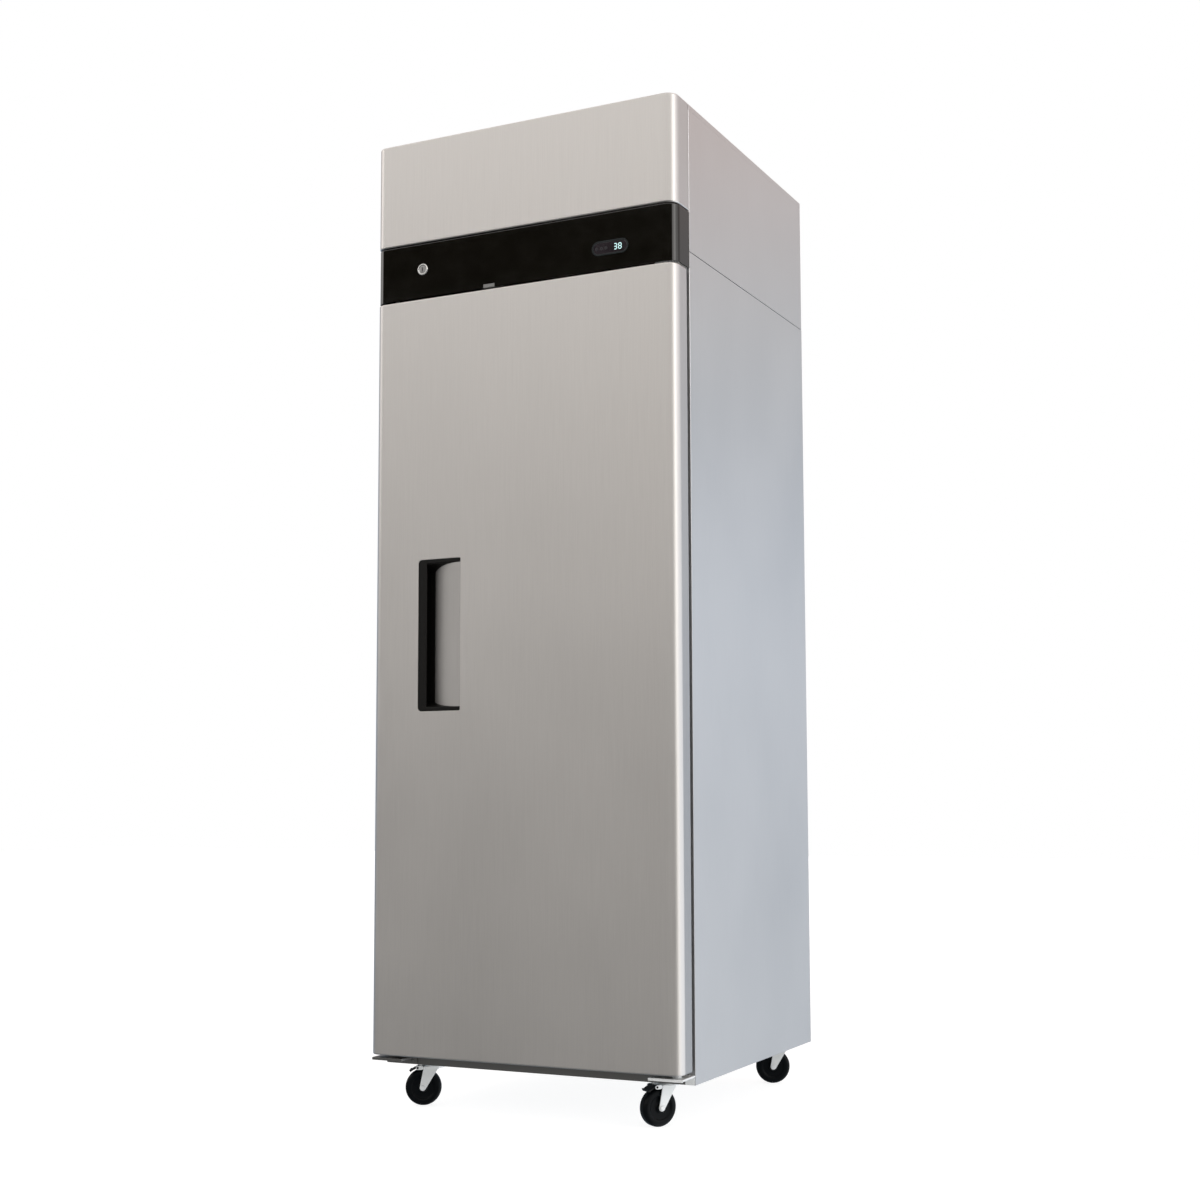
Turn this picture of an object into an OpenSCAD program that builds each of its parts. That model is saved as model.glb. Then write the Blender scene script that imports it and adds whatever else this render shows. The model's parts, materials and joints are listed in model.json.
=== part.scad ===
// Reach-in refrigerator: one solid door, top-mounted machine compartment, four casters.
// Front faces -Y, up is +Z, and the origin is on the floor under the middle of the body.

/* [Cabinet] */
// Overall width
body_w = 700; // [690:2:730]
// Overall depth, from the door's front to the back panel
body_d = 724; // [720:2:780]
// Height without the casters
body_h = 1940; // [1930:2:1960]
// Thickness of the foamed walls
wall_t = 60; // [55:1:62]
// Thickness of the outer and inner sheet metal
sheet_t = 1; // [0.8:0.1:1.5]
// Height of the seam between cabinet and machine housing, above the cabinet's bottom
seam_h = 1635; // [1630:1:1640]
// Thickness of the insulated ceiling
ceiling_t = 80; // [78:1:84]

/* [Door] */
// Thickness of the door
door_t = 57; // [54:1:60]
// Gap that the gasket fills between door and cabinet
gasket_gap = 15; // [13:1:16]
// Radius of the rounded vertical corners
corner_r = 24; // [18:1:26]
// Height of the door's lower edge above the cabinet's bottom
door_rise = 26; // [24:1:30]
// Clearance between the door's top and the control strip
door_clear = 4; // [3:0.5:5]
// Thickness of the door's sheet metal
door_sheet_t = 1.2; // [1:0.1:1.5]

/* [Control strip] */
// Height of the strip's lower edge above the cabinet's bottom
strip_rise = 1600; // [1597:1:1602]
// Height of the strip
strip_h = 116; // [112:1:120]
// Wall thickness of the strip
strip_t = 3; // [2:0.5:4]
// Width of the display surround
display_w = 81; // [76:1:86]
// Height of the display surround
display_h = 30; // [28:1:34]
// Distance of the display's middle from the centre plane
display_x = 208; // [190:1:220]
// Diameter of the lock's ring
lock_d = 25; // [24:1:30]
// Distance of the lock from the centre plane
lock_x = 232.6; // [220:0.2:240]

/* [Handle] */
// Width of the recessed handle
handle_w = 101; // [96:1:110]
// Height of the recessed handle
handle_h = 314; // [280:2:340]
// Distance of its left edge from the centre plane
handle_x = 237; // [230:1:250]
// Height of its lower edge above the cabinet's bottom
handle_rise = 727; // [700:1:760]
// Depth of the finger recess
handle_depth = 32; // [28:1:36]
// Width of the upright grip bar
grip_w = 20; // [16:1:24]

/* [Shelves] */
// Levels of the three shelves, as slot numbers on the pilasters
shelf_slots = [5, 12, 19];
// Distance between deck wires
wire_pitch = 24; // [20:1:30]

/* [Casters] */
// Height from the floor to the cabinet's bottom
caster_h = 90; // [90:1:100]
// Wheel diameter
wheel_d = 75; // [72:1:76]
// Wheel width
wheel_w = 24; // [20:1:26]
// Distance between the swivel axis and the wheel's axle
trail = 25; // [24:1:30]

/* [Hidden] */

steel = "#b9b8b4";
dark_plastic = "#1b1a18";
zinc = "#d3d7d6";
copper = "#b87349";
eps = 0.01;
body_clear = 0.3;      // gap between pieces that move past each other
run_clear = 0.06;      // radial gap of a pin in its bore

x_half = body_w / 2;
y_front = -body_d / 2;
y_back = body_d / 2;
z_base = caster_h;
z_top = caster_h + body_h;
face_y = y_front + door_t + gasket_gap;
seam_z = z_base + seam_h;
seam_gap = 1.5;

// Interior, inside the liner
in_x = x_half - wall_t;
in_y = y_back - wall_t;
in_z0 = z_base + wall_t + 5;
in_z1 = seam_z - ceiling_t;

// Door
door_z0 = z_base + door_rise;
strip_z0 = z_base + strip_rise;
strip_z1 = strip_z0 + strip_h;
door_z1 = strip_z0 - door_clear;
door_back_y = y_front + door_t;
gasket_w = 26;
gasket_edge = 24;      // from the door's side edge to the gasket
gasket_rise = 8;       // from the door's lower edge to the gasket
gasket_drop = 6;       // from the door's upper edge to the gasket
pivot_x = x_half - 22;
pivot_y = y_front + 35;
pin_r = 5;
pin_reach = 18;        // how far a hinge pin reaches into the door

// Handle, seen from the front
hx0 = -handle_x;
hx1 = hx0 + handle_w;
hz0 = z_base + handle_rise;
hz1 = hz0 + handle_h;
handle_wall = 8;
handle_corner = 8;
scoop_x = hx0 + 22;    // where the scoop meets the bottom of the recess
scoop_y = y_front + handle_depth;
scoop_r = 110;
scoop_t = 1.2;
top_draft = 14;        // how far the recess's ends slope inwards at its deepest
bottom_draft = 12;

// Strip and what it holds
strip_y = y_front + 2;
controls_z = z_base + 1644;
lock_z = z_base + 1660;
lock_bore_r = 8;
cam_y = y_front + 29;
cam_t = 3;
cam_reach = 78;
cam_w = 12;
slot_depth = 16;
key_r = 3;
key_xs = [display_x - 30, display_x - 19.5, display_x - 9];
switch_x = -72;
switch_y = y_front + 22;
switch_w = 28;
plunger_r = 4;

// Front cover of the machine compartment
cover_z0 = strip_z1 + 2;
cover_t = 1.2;
cover_back_y = face_y - 3;
cover_pivot_y = face_y - 8;
cover_pivot_z = z_top - 5.5;
cover_pin_r = 2.5;

// Shelves
slot_pitch = 50;
slot_z0 = 215;
pilaster_ys = [-230, 240];
pilaster_w = 18;
pilaster_t = 3;
ledge_t = 4;
shelf_x = in_x - 18;
shelf_y0 = face_y + 28;
shelf_y1 = in_y - 20;
rod_r = 3.5;
wire_r = 1.9;
function shelf_z(i) = slot_z0 + slot_pitch * shelf_slots[i];

// Evaporator under the ceiling
evap_x = 220;
evap_y0 = -30;
evap_y1 = in_y - 12;
evap_z0 = in_z1 - 120;
evap_fan = [0, 60];
evap_fan_r = 88;
evap_sheet_t = 1.2;

// Machine compartment
deck_z = seam_z - seam_gap / 2;
back_inset = 16;
cond_x0 = -320;
cond_x1 = -20;
cond_y0 = -230;
cond_z0 = deck_z + 10;
cond_z1 = deck_z + 270;
cond_d = 45;
cond_bars = 6;
cond_mid_y = cond_y0 + cond_d / 2;
shroud_d = 34;
fan_x = (cond_x0 + cond_x1) / 2;
fan_z = (cond_z0 + cond_z1) / 2;
fan_ring_r = 112;
compressor_at = [190, 190];
compressor_r = 75;
compressor_h = 190;
gland_x = 250;
gland_z = deck_z + 50;
gland_bore_r = 4;

// Casters: place of each swivel axis and the way its wheel trails
front_caster = [268, -234];
rear_caster = [296, 332];
axle_z = wheel_d / 2;
axle_r = 4;
leg_y = wheel_w / 2 + 2.5;
leg_t = 2.5;
crown_z = wheel_d + 3;
crown_t = 3;
kingpin_r = 5;
plate_t = 3;
pedal_x = 36;
pedal_z = crown_z;
pedal_pin_r = 2;
caster_at = [
    [-front_caster[0], front_caster[1], 206],
    [front_caster[0], front_caster[1], 236],
    [-rear_caster[0], rear_caster[1], 8],
    [rear_caster[0], rear_caster[1], 206]];

// ---- Shared shapes ----

module block(x, y, z) {
    translate([x[0], y[0], z[0]]) cube([x[1] - x[0], y[1] - y[0], z[1] - z[0]]);
}

// Plan outline with its two front corners rounded
module front_outline(half_w, y0, y1, r) {
    translate([-half_w + r, y0]) square([2 * (half_w - r), y1 - y0]);
    translate([-half_w, y0 + r]) square([2 * half_w, y1 - y0 - r]);
    for (side = [-1, 1])
        translate([side * (half_w - r), y0 + r]) circle(r = r, $fn = 96);
}

// Upright shell open at its back, bent round both front corners
module front_shell(y0, y1, t, z) {
    translate([0, 0, z[0]]) linear_extrude(z[1] - z[0])
        difference() {
            front_outline(x_half, y0, y1, corner_r);
            front_outline(x_half - t, y0 + t, y1 + 1, corner_r - t);
        }
}

// Extrudes an outline drawn in X and Z between two depths
module facing(y0, y1) {
    translate([0, y1, 0]) rotate([90, 0, 0]) linear_extrude(y1 - y0) children();
}

module stadium(w, h) {
    square([w - h, h], center = true);
    for (side = [-1, 1]) translate([side * (w - h) / 2, 0]) circle(d = h, $fn = 64);
}

// Round bar along one of the axes
module rod(from, to, r) {
    d = to - from;
    start = d[0] + d[1] + d[2] > 0 ? from : to;
    turn = d[0] != 0 ? [0, 90, 0] : d[1] != 0 ? [-90, 0, 0] : [0, 0, 0];
    translate(start) rotate(turn) cylinder(h = norm(d), r = r, $fn = 32);
}

// Axis-aligned pipe with a brazed elbow at each corner
module pipe(points, r) {
    for (i = [0 : len(points) - 2]) rod(points[i], points[i + 1], r);
    for (i = [1 : 1 : len(points) - 2]) translate(points[i]) sphere(r = r + 0.8, $fn = 32);
}

function bar_height(z, bars, i) = z[0] + (i + 0.5) * (z[1] - z[0]) / bars;

// Comb of thin fins along X, tied together by straight bars that stick out at both ends
module finned_block(x, y, z, pitch, bars, overhang) {
    fin_t = 1;
    bar = 6;
    mid = (y[0] + y[1]) / 2;
    for (fx = [x[0] : pitch : x[1] - fin_t]) block([fx, fx + fin_t], y, z);
    for (i = [0 : bars - 1])
        block([x[0] - overhang, x[1] + overhang], [mid - bar / 2, mid + bar / 2],
              [bar_height(z, bars, i) - bar / 2, bar_height(z, bars, i) + bar / 2]);
}

module fan_blades(count, hub_r, tip_r, chord, pitch_angle) {
    for (i = [0 : count - 1])
        rotate([0, 0, i * 360 / count]) translate([hub_r - 2, 0, 0]) rotate([pitch_angle, 0, 0])
            translate([0, -chord / 2, -0.75]) cube([tip_r - hub_r, chord, 1.5]);
}

// ---- Cabinet ----

module side_panel(side) {
    hem = 14;
    x0 = side * x_half;
    x1 = side * (x_half - sheet_t);
    x2 = side * (x_half - hem);
    z = [z_base, seam_z - seam_gap / 2];
    block([min(x0, x1), max(x0, x1)], [face_y, y_back], z);
    block([min(x0, x2), max(x0, x2)], [face_y, face_y + sheet_t], z);
}

module side_panel_left() { color(steel) side_panel(-1); }

module side_panel_right() { color(steel) side_panel(1); }

skin_x = x_half - sheet_t;
skin_y0 = face_y + sheet_t;
skin_y1 = y_back - sheet_t;
skin_z0 = z_base + sheet_t;
skin_z1 = seam_z - seam_gap / 2 - sheet_t;

module back_panel() {
    color("#c4c6c6") block([-skin_x, skin_x], [skin_y1, y_back], [z_base, skin_z1 + sheet_t]);
}

module base_pan() {
    color("#8f9190") block([-skin_x, skin_x], [skin_y0, skin_y1], [z_base, skin_z0]);
}

module top_deck() {
    color("#c4c6c6") block([-skin_x, skin_x], [skin_y0, skin_y1], [skin_z1, skin_z1 + sheet_t]);
}

module insulation() {
    color("#e6dcb0") difference() {
        block([-skin_x, skin_x], [skin_y0, skin_y1], [skin_z0, skin_z1]);
        block([-in_x - sheet_t, in_x + sheet_t], [skin_y0 - 1, in_y + sheet_t],
              [in_z0 - sheet_t, in_z1 + sheet_t]);
    }
}

module inner_liner() {
    color("#cfd2d2") difference() {
        block([-in_x - sheet_t, in_x + sheet_t], [skin_y0, in_y + sheet_t],
              [in_z0 - sheet_t, in_z1 + sheet_t]);
        block([-in_x, in_x], [skin_y0 - 1, in_y], [in_z0, in_z1]);
    }
}

module face_frame() {
    hem = 14;
    color("#a9aaa8") difference() {
        block([-x_half + hem, x_half - hem], [face_y, skin_y0], [z_base, skin_z1 + sheet_t]);
        block([-in_x, in_x], [face_y - 1, skin_y0 + 1], [in_z0, in_z1]);
    }
}

// ---- Interior ----

module shelf_pilasters() {
    slots = 27;
    slot_w = 3;
    slot_h = 12;
    color("#c9cccc") for (side = [-1, 1], y = pilaster_ys)
        difference() {
            block([min(side * in_x, side * (in_x - pilaster_t)),
                   max(side * in_x, side * (in_x - pilaster_t))],
                  [y - pilaster_w / 2, y + pilaster_w / 2],
                  [slot_z0 - 20, slot_z0 + slots * slot_pitch]);
            for (i = [0 : slots - 1])
                block([-in_x - 1, in_x + 1], [y - slot_w / 2, y + slot_w / 2],
                      [slot_z0 + i * slot_pitch - slot_h / 2, slot_z0 + i * slot_pitch + slot_h / 2]);
        }
}

// Plate against the pilaster, a tooth in its slot and a ledge for the shelf
module shelf_clip(z) {
    wide = 7;
    block([in_x - 7, in_x - pilaster_t], [-wide, wide], [z - 10, z + 10]);
    block([in_x - 26, in_x - 7], [-wide, wide], [z - ledge_t, z]);
    block([in_x - pilaster_t, in_x - 0.5], [-1.3, 1.3], [z - 4, z + 4]);
}

module shelf_clips() {
    color(zinc) for (side = [0, 1], y = pilaster_ys, i = [0 : 2])
        translate([0, y, 0]) mirror([side, 0, 0]) shelf_clip(shelf_z(i));
}

module wire_shelf(z) {
    zc = z + body_clear + rod_r;
    for (y = [shelf_y0, shelf_y1]) rod([-shelf_x, y, zc], [shelf_x, y, zc], rod_r);
    for (x = [-shelf_x, shelf_x]) rod([x, shelf_y0, zc], [x, shelf_y1, zc], rod_r);
    for (x = [-shelf_x, shelf_x], y = [shelf_y0, shelf_y1])
        translate([x, y, zc]) sphere(r = rod_r + 0.4, $fn = 32);
    span = (shelf_y1 - shelf_y0) / 3;
    for (i = [1, 2])
        rod([-shelf_x, shelf_y0 + i * span, zc], [shelf_x, shelf_y0 + i * span, zc], rod_r - 0.8);
    wires = floor((2 * shelf_x - 20) / wire_pitch / 2);
    for (i = [-wires : wires])
        rod([i * wire_pitch, shelf_y0 - 2, zc + rod_r + 0.6],
            [i * wire_pitch, shelf_y1 + 2, zc + rod_r + 0.6], wire_r);
}

module shelf_lower() { color("#e4e6e4") wire_shelf(shelf_z(0)); }

module shelf_middle() { color("#e4e6e4") wire_shelf(shelf_z(1)); }

module shelf_upper() { color("#e4e6e4") wire_shelf(shelf_z(2)); }

module evaporator_cover() {
    t = evap_sheet_t;
    slots = 9;
    slot_pitch_x = 44;
    color("#d5d8d8") difference() {
        block([-evap_x, evap_x], [evap_y0, evap_y1], [evap_z0, in_z1]);
        block([-evap_x + t, evap_x - t], [evap_y0 + t, evap_y1 - t], [evap_z0 + t, in_z1 + 1]);
        translate([evap_fan[0], evap_fan[1], evap_z0 - 1]) cylinder(h = 4, r = evap_fan_r, $fn = 96);
        for (i = [0 : slots - 1]) {
            x = (i - (slots - 1) / 2) * slot_pitch_x;
            block([x - 16, x + 16], [evap_y0 - 1, evap_y0 + 3], [in_z1 - 85, in_z1 - 30]);
            block([x - 16, x + 16], [evap_y1 - 90, evap_y1 - 70], [evap_z0 - 1, evap_z0 + 3]);
        }
    }
}

module evaporator_coil() {
    half = 190;
    color("#b9bcbd")
        finned_block([-half, half], [165, 275], [evap_z0 + 25, in_z1 - 8], 10, 3, evap_x - evap_sheet_t - half);
}

module evaporator_fan_motor() {
    z = evap_z0 + 45;
    arm_x = evap_x - evap_sheet_t;
    color("#4a4c4e") difference() {
        union() {
            translate([evap_fan[0], evap_fan[1], z]) cylinder(h = 40, r = 30, $fn = 64);
            block([-arm_x, arm_x], [evap_fan[1] - 8, evap_fan[1] + 8], [z + 30, z + 33]);
        }
        translate([evap_fan[0], evap_fan[1], z - 1]) cylinder(h = 26, r = 3 + run_clear, $fn = 32);
    }
}

module evaporator_fan_guard() {
    bar = 3;
    color(zinc) translate([evap_fan[0], evap_fan[1], evap_z0 - bar]) {
        for (r = [24, 45, 66, evap_fan_r + 4])
            difference() {
                cylinder(h = bar, r = r + bar / 2, $fn = 96);
                translate([0, 0, -1]) cylinder(h = bar + 2, r = r - bar / 2, $fn = 96);
            }
        for (a = [0, 90]) rotate([0, 0, a])
            translate([-evap_fan_r - 4, -bar / 2, 0.5]) cube([2 * evap_fan_r + 8, bar, bar - 1]);
    }
}

module evaporator_fan_blade() {
    color("#2b2d2f") translate([evap_fan[0], evap_fan[1], evap_z0 + 26]) {
        translate([0, 0, -9]) cylinder(h = 20, r = 16, $fn = 48);
        fan_blades(5, 16, 80, 34, 26);
        cylinder(h = 40, r = 3, $fn = 32);
    }
}

module interior_lamp() {
    color("#f1efe4") translate([0, -215, 0]) {
        translate([0, 0, in_z1 - 5]) linear_extrude(5) stadium(130, 56);
        translate([0, 0, in_z1 - 26]) linear_extrude(21) stadium(112, 42);
    }
}

// ---- Machine compartment ----

// One side of the open-topped housing, with the bracket that carries the cover's hinge pin
module housing_side() {
    flange = 22;
    rim = 15;
    z = [seam_z + seam_gap / 2, z_top];
    pin_x = x_half - 19;
    block([x_half - sheet_t, x_half], [face_y, y_back], z);
    block([x_half - flange, x_half], [face_y, face_y + sheet_t], z);
    block([x_half - rim, x_half], [y_back - sheet_t, y_back], z);
    block([x_half - rim, x_half], [face_y, y_back], [z_top - sheet_t, z_top]);
    block([x_half - flange, pin_x], [cover_pivot_y - 5, face_y + eps], [z_top - 14, z_top - 1.6]);
    rod([pin_x - 1, cover_pivot_y, cover_pivot_z], [x_half - 8, cover_pivot_y, cover_pivot_z],
        cover_pin_r);
}

module housing_sides() {
    rail_t = 1.5;
    color(steel) {
        for (side = [0, 1]) mirror([side, 0, 0]) housing_side();
        block([-x_half + 22, x_half - 22], [face_y, face_y + rail_t], [z_top - 30, z_top - 1]);
    }
}

module housing_back() {
    y = [y_back - back_inset, y_back - back_inset + sheet_t];
    z = [seam_z + seam_gap / 2, z_top - 1.5];
    rows = 12;
    color("#c4c6c6") difference() {
        block([-skin_x, skin_x], y, z);
        for (i = [0 : rows - 1], x = [-200, 0])
            block([x - 80, x + 80], [y[0] - 1, y[1] + 1], [deck_z + 60 + 16 * i, deck_z + 66 + 16 * i]);
        facing(y[0] - 1, y[1] + 1) translate([gland_x, gland_z]) circle(r = 10, $fn = 48);
    }
}

module compressor() {
    r = compressor_r;
    round = 30;
    color("#191919") translate([compressor_at[0], compressor_at[1], deck_z]) {
        translate([0, 0, 12]) rotate_extrude($fn = 96) {
            square([r - round, compressor_h]);
            translate([0, round]) square([r, compressor_h - 2 * round]);
            for (z = [round, compressor_h - round])
                translate([r - round, z]) intersection() {
                    circle(r = round, $fn = 64);
                    translate([0, -round]) square([round, 2 * round]);
                }
        }
        translate([0, 0, 12 + compressor_h / 2 - 3]) cylinder(h = 6, r = r + 4, $fn = 96);
        block([-95, 95], [-55, 55], [8, 13]);
        for (x = [-80, 80], y = [-42, 42]) translate([x, y, 0]) cylinder(h = 16, r = 10, $fn = 32);
        block([r - 12, r + 22], [-26, 26], [60, 130]);
    }
}

module condenser_coil() {
    color("#a3703f")
        finned_block([cond_x0, cond_x1], [cond_y0, cond_y0 + cond_d], [cond_z0, cond_z1],
                     10, cond_bars, 8);
}

module condenser_shroud() {
    t = 1.5;
    y = [cond_y0 + cond_d, cond_y0 + cond_d + shroud_d];
    foot_w = 14;
    color("#2a2b2c") difference() {
        union() {
            block([cond_x0, cond_x1], y, [cond_z0, cond_z1]);
            for (x = [cond_x0, cond_x1 - foot_w]) block([x, x + foot_w], y, [deck_z, cond_z0 + t]);
            facing(y[1] - 1, y[1] + 12) translate([fan_x, fan_z]) circle(r = fan_ring_r + t, $fn = 96);
        }
        block([cond_x0 + t, cond_x1 - t], [y[0] - 1, y[1] - t], [cond_z0 + t, cond_z1 - t]);
        facing(y[1] - 3, y[1] + 13) translate([fan_x, fan_z]) circle(r = fan_ring_r, $fn = 96);
    }
}

module condenser_fan_motor() {
    y0 = cond_y0 + cond_d + shroud_d + 20;
    arm_y = y0 + 26;
    color("#55585a") difference() {
        union() {
            facing(y0, y0 + 55) translate([fan_x, fan_z]) circle(r = 34, $fn = 64);
            block([cond_x0 + 6, cond_x1 - 6], [arm_y, arm_y + 3], [fan_z - 8, fan_z + 8]);
            for (x = [cond_x0 + 6, cond_x1 - 9])
                block([x, x + 3], [cond_y0 + cond_d + shroud_d, arm_y + 3], [fan_z - 8, fan_z + 8]);
        }
        facing(y0 - 1, y0 + 30) translate([fan_x, fan_z]) circle(r = 4 + run_clear, $fn = 32);
    }
}

module condenser_fan_blade() {
    y0 = cond_y0 + cond_d + shroud_d;
    color("#8d9092") translate([fan_x, y0, fan_z]) rotate([-90, 0, 0]) {
        translate([0, 0, -12]) cylinder(h = 24, r = 20, $fn = 48);
        fan_blades(5, 20, 106, 48, 24);
        cylinder(h = 45, r = 4, $fn = 32);
    }
}

// Suction, discharge and liquid lines, the drier, and the capillary down through the deck
module refrigerant_lines() {
    cx = compressor_at[0];
    cy = compressor_at[1];
    end_x = cond_x1 + 8;
    hot_z = bar_height([cond_z0, cond_z1], cond_bars, 3);
    cool_z = bar_height([cond_z0, cond_z1], cond_bars, 0);
    drier_x = 40;
    color(copper) {
        pipe([[cx - 40, cy + 60, deck_z + 60], [cx - 40, cy + 110, deck_z + 60],
              [-60, cy + 110, deck_z + 60], [-60, cy + 110, deck_z]], 5);
        pipe([[cx - 70, cy, hot_z], [20, cy, hot_z], [20, cond_mid_y, hot_z],
              [end_x, cond_mid_y, hot_z]], 4);
        pipe([[end_x, cond_mid_y, cool_z], [drier_x, cond_mid_y, cool_z], [drier_x, 40, cool_z]], 3.2);
        rod([drier_x, 40, cool_z], [drier_x, 120, cool_z], 11);
        pipe([[drier_x, 120, cool_z], [drier_x, 200, cool_z], [drier_x, 200, deck_z]], 2.4);
    }
}

module electrical_box() {
    color("#9a9d9f") {
        difference() {
            block([70, 210], [-240, -160], [deck_z + 8, deck_z + 118]);
            block([72, 208], [-241, -162], [deck_z + 10, deck_z + 116]);
        }
        block([68, 212], [-241.5, -240.2], [deck_z + 6, deck_z + 120]);
        for (x = [84, 196]) block([x - 8, x + 8], [-210, -190], [deck_z, deck_z + 8]);
    }
}

module cord_gland() {
    y = y_back - back_inset;
    color(dark_plastic) difference() {
        union() {
            facing(y - 10, y + 4) translate([gland_x, gland_z]) circle(r = 9.8, $fn = 48);
            facing(y - 6, y - 0.2) translate([gland_x, gland_z]) circle(r = 14, $fn = 6);
            facing(y + sheet_t + 0.2, y + 6) translate([gland_x, gland_z]) circle(r = 14, $fn = 48);
            facing(y + 5.5, y + back_inset) translate([gland_x, gland_z]) circle(r = 10.5, $fn = 48);
        }
        facing(y - 11, y + back_inset + 1) translate([gland_x, gland_z]) circle(r = gland_bore_r, $fn = 48);
    }
}

// Pan that swings up on two pins near its top rear edge
module front_cover() {
    hem = 14;
    ear_x = x_half - 14;
    notch_x = [x_half - 24, x_half - 17];
    color(steel) {
        front_shell(y_front, cover_back_y, cover_t, [cover_z0, z_top]);
        translate([0, 0, z_top - cover_t]) linear_extrude(cover_t)
            difference() {
                front_outline(x_half, y_front, cover_back_y, corner_r);
                for (side = [0, 1]) mirror([side, 0, 0])
                    translate([notch_x[0], cover_pivot_y - 5]) square([notch_x[1] - notch_x[0], 20]);
            }
        translate([0, 0, cover_z0]) linear_extrude(cover_t)
            difference() {
                front_outline(x_half, y_front, cover_back_y, corner_r);
                translate([-x_half + hem, y_front + hem]) square([2 * (x_half - hem), body_d]);
            }
        for (side = [0, 1]) mirror([side, 0, 0])
            difference() {
                block([ear_x, ear_x + 3], [cover_pivot_y - 5, cover_pivot_y + 4.5],
                      [z_top - 12, z_top - cover_t + eps]);
                rod([ear_x - 1, cover_pivot_y, cover_pivot_z],
                    [ear_x + 4, cover_pivot_y, cover_pivot_z], cover_pin_r + run_clear);
            }
    }
}

// ---- Control strip ----

module control_strip() {
    notch_h = 8;
    color(dark_plastic) difference() {
        union() {
            front_shell(strip_y, face_y, strip_t, [strip_z0, strip_z1]);
            translate([0, 0, strip_z1 - strip_t]) linear_extrude(strip_t)
                front_outline(x_half, strip_y, face_y, corner_r);
        }
        facing(strip_y - 1, strip_y + strip_t + 1) {
            translate([-lock_x, lock_z]) circle(r = lock_d / 2 - 1.5, $fn = 64);
            translate([display_x, controls_z]) stadium(display_w - 5, display_h - 5);
        }
        block([switch_x - switch_w / 2, switch_x + switch_w / 2], [strip_y - 1, strip_y + strip_t + 1],
              [strip_z0 - 1, strip_z0 + notch_h]);
    }
}

module controller_bezel() {
    color("#23292a") translate([display_x, 0, controls_z]) {
        facing(strip_y - 1, strip_y) difference() {
            stadium(display_w, display_h);
            stadium(display_w - 7, display_h - 7);
        }
        facing(strip_y, strip_y + 8) difference() {
            stadium(display_w - 5.4, display_h - 5.4);
            stadium(display_w - 7, display_h - 7);
        }
    }
}

module display_window() {
    color("#0d1214") facing(strip_y - 0.5, strip_y + 3) difference() {
        translate([display_x, controls_z]) stadium(display_w - 7.2, display_h - 7.2);
        for (x = key_xs) translate([x, controls_z]) circle(r = key_r + body_clear, $fn = 32);
    }
}

module controller_key(i) {
    color("#5c6468") {
        facing(strip_y - 1.2, strip_y + 8) translate([key_xs[i], controls_z]) circle(r = key_r, $fn = 32);
        facing(strip_y + 5, strip_y + 7) translate([key_xs[i], controls_z])
            circle(r = key_r + 1.4, $fn = 32);
    }
}

module key_set() { controller_key(0); }

module key_up() { controller_key(1); }

module key_down() { controller_key(2); }

module lock_housing() {
    color("#c9cbca") facing_tube(-lock_x, lock_z, lock_bore_r + run_clear);
}

// Ring in front of the strip and barrel through it, round one bore
module facing_tube(x, z, bore_r) {
    difference() {
        union() {
            facing(y_front, strip_y) translate([x, z]) circle(d = lock_d, $fn = 64);
            facing(strip_y - eps, strip_y + 22) translate([x, z]) circle(r = lock_d / 2 - 1.6, $fn = 64);
        }
        facing(y_front - 1, strip_y + 23) translate([x, z]) circle(r = bore_r, $fn = 64);
    }
}

module lock_cylinder() {
    color("#a6a8a7") difference() {
        facing(y_front + 0.6, cam_y) translate([-lock_x, lock_z]) circle(r = lock_bore_r, $fn = 64);
        block([-lock_x - 0.9, -lock_x + 0.9], [y_front, y_front + 9], [lock_z - 4.5, lock_z + 4.5]);
    }
}

module lock_cam() {
    color(zinc) facing(cam_y, cam_y + cam_t) translate([-lock_x, lock_z]) {
        circle(r = lock_bore_r + 1.5, $fn = 64);
        translate([0, -cam_w / 2]) square([cam_reach - cam_w / 2, cam_w]);
        translate([cam_reach - cam_w / 2, 0]) circle(d = cam_w, $fn = 48);
    }
}

module door_switch_body() {
    x = [switch_x - switch_w / 2 + 0.3, switch_x + switch_w / 2 - 0.3];
    color("#b4b4b1") difference() {
        union() {
            block(x, [strip_y + 0.3, face_y], [strip_z0 + 0.3, strip_z0 + 7.7]);
            block([x[0] + 2, x[1] - 2], [strip_y + strip_t + 0.3, face_y],
                  [strip_z0 + 7, strip_z0 + 26]);
        }
        translate([switch_x, switch_y, strip_z0 - 1]) cylinder(h = 17, r = plunger_r + run_clear, $fn = 32);
    }
}

module door_switch_plunger() {
    color("#e8e8e4") translate([switch_x, switch_y, door_z1 + body_clear]) {
        translate([0, 0, 1.5]) cylinder(h = 15, r = plunger_r, $fn = 32);
        cylinder(h = 1.6, r1 = plunger_r - 1.2, r2 = plunger_r, $fn = 48);
    }
}

// ---- Hinges ----

module top_hinge_bracket() {
    plate_z = strip_z0 + 0.5;
    x = [pivot_x - 32, x_half - strip_t - 1];
    color(zinc) {
        block(x, [y_front + 17, face_y], [plate_z, plate_z + 4]);
        block(x, [face_y - 3, face_y], [plate_z + 4 - eps, seam_z - 4]);
        translate([pivot_x, pivot_y, door_z1 - pin_reach])
            cylinder(h = plate_z - door_z1 + pin_reach + 1, r = pin_r, $fn = 48);
        for (x = [pivot_x - 20, pivot_x + 8])
            facing(face_y - 5.5, face_y - 3 + eps) translate([x, plate_z + 22]) circle(r = 4.5, $fn = 32);
    }
}

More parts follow.
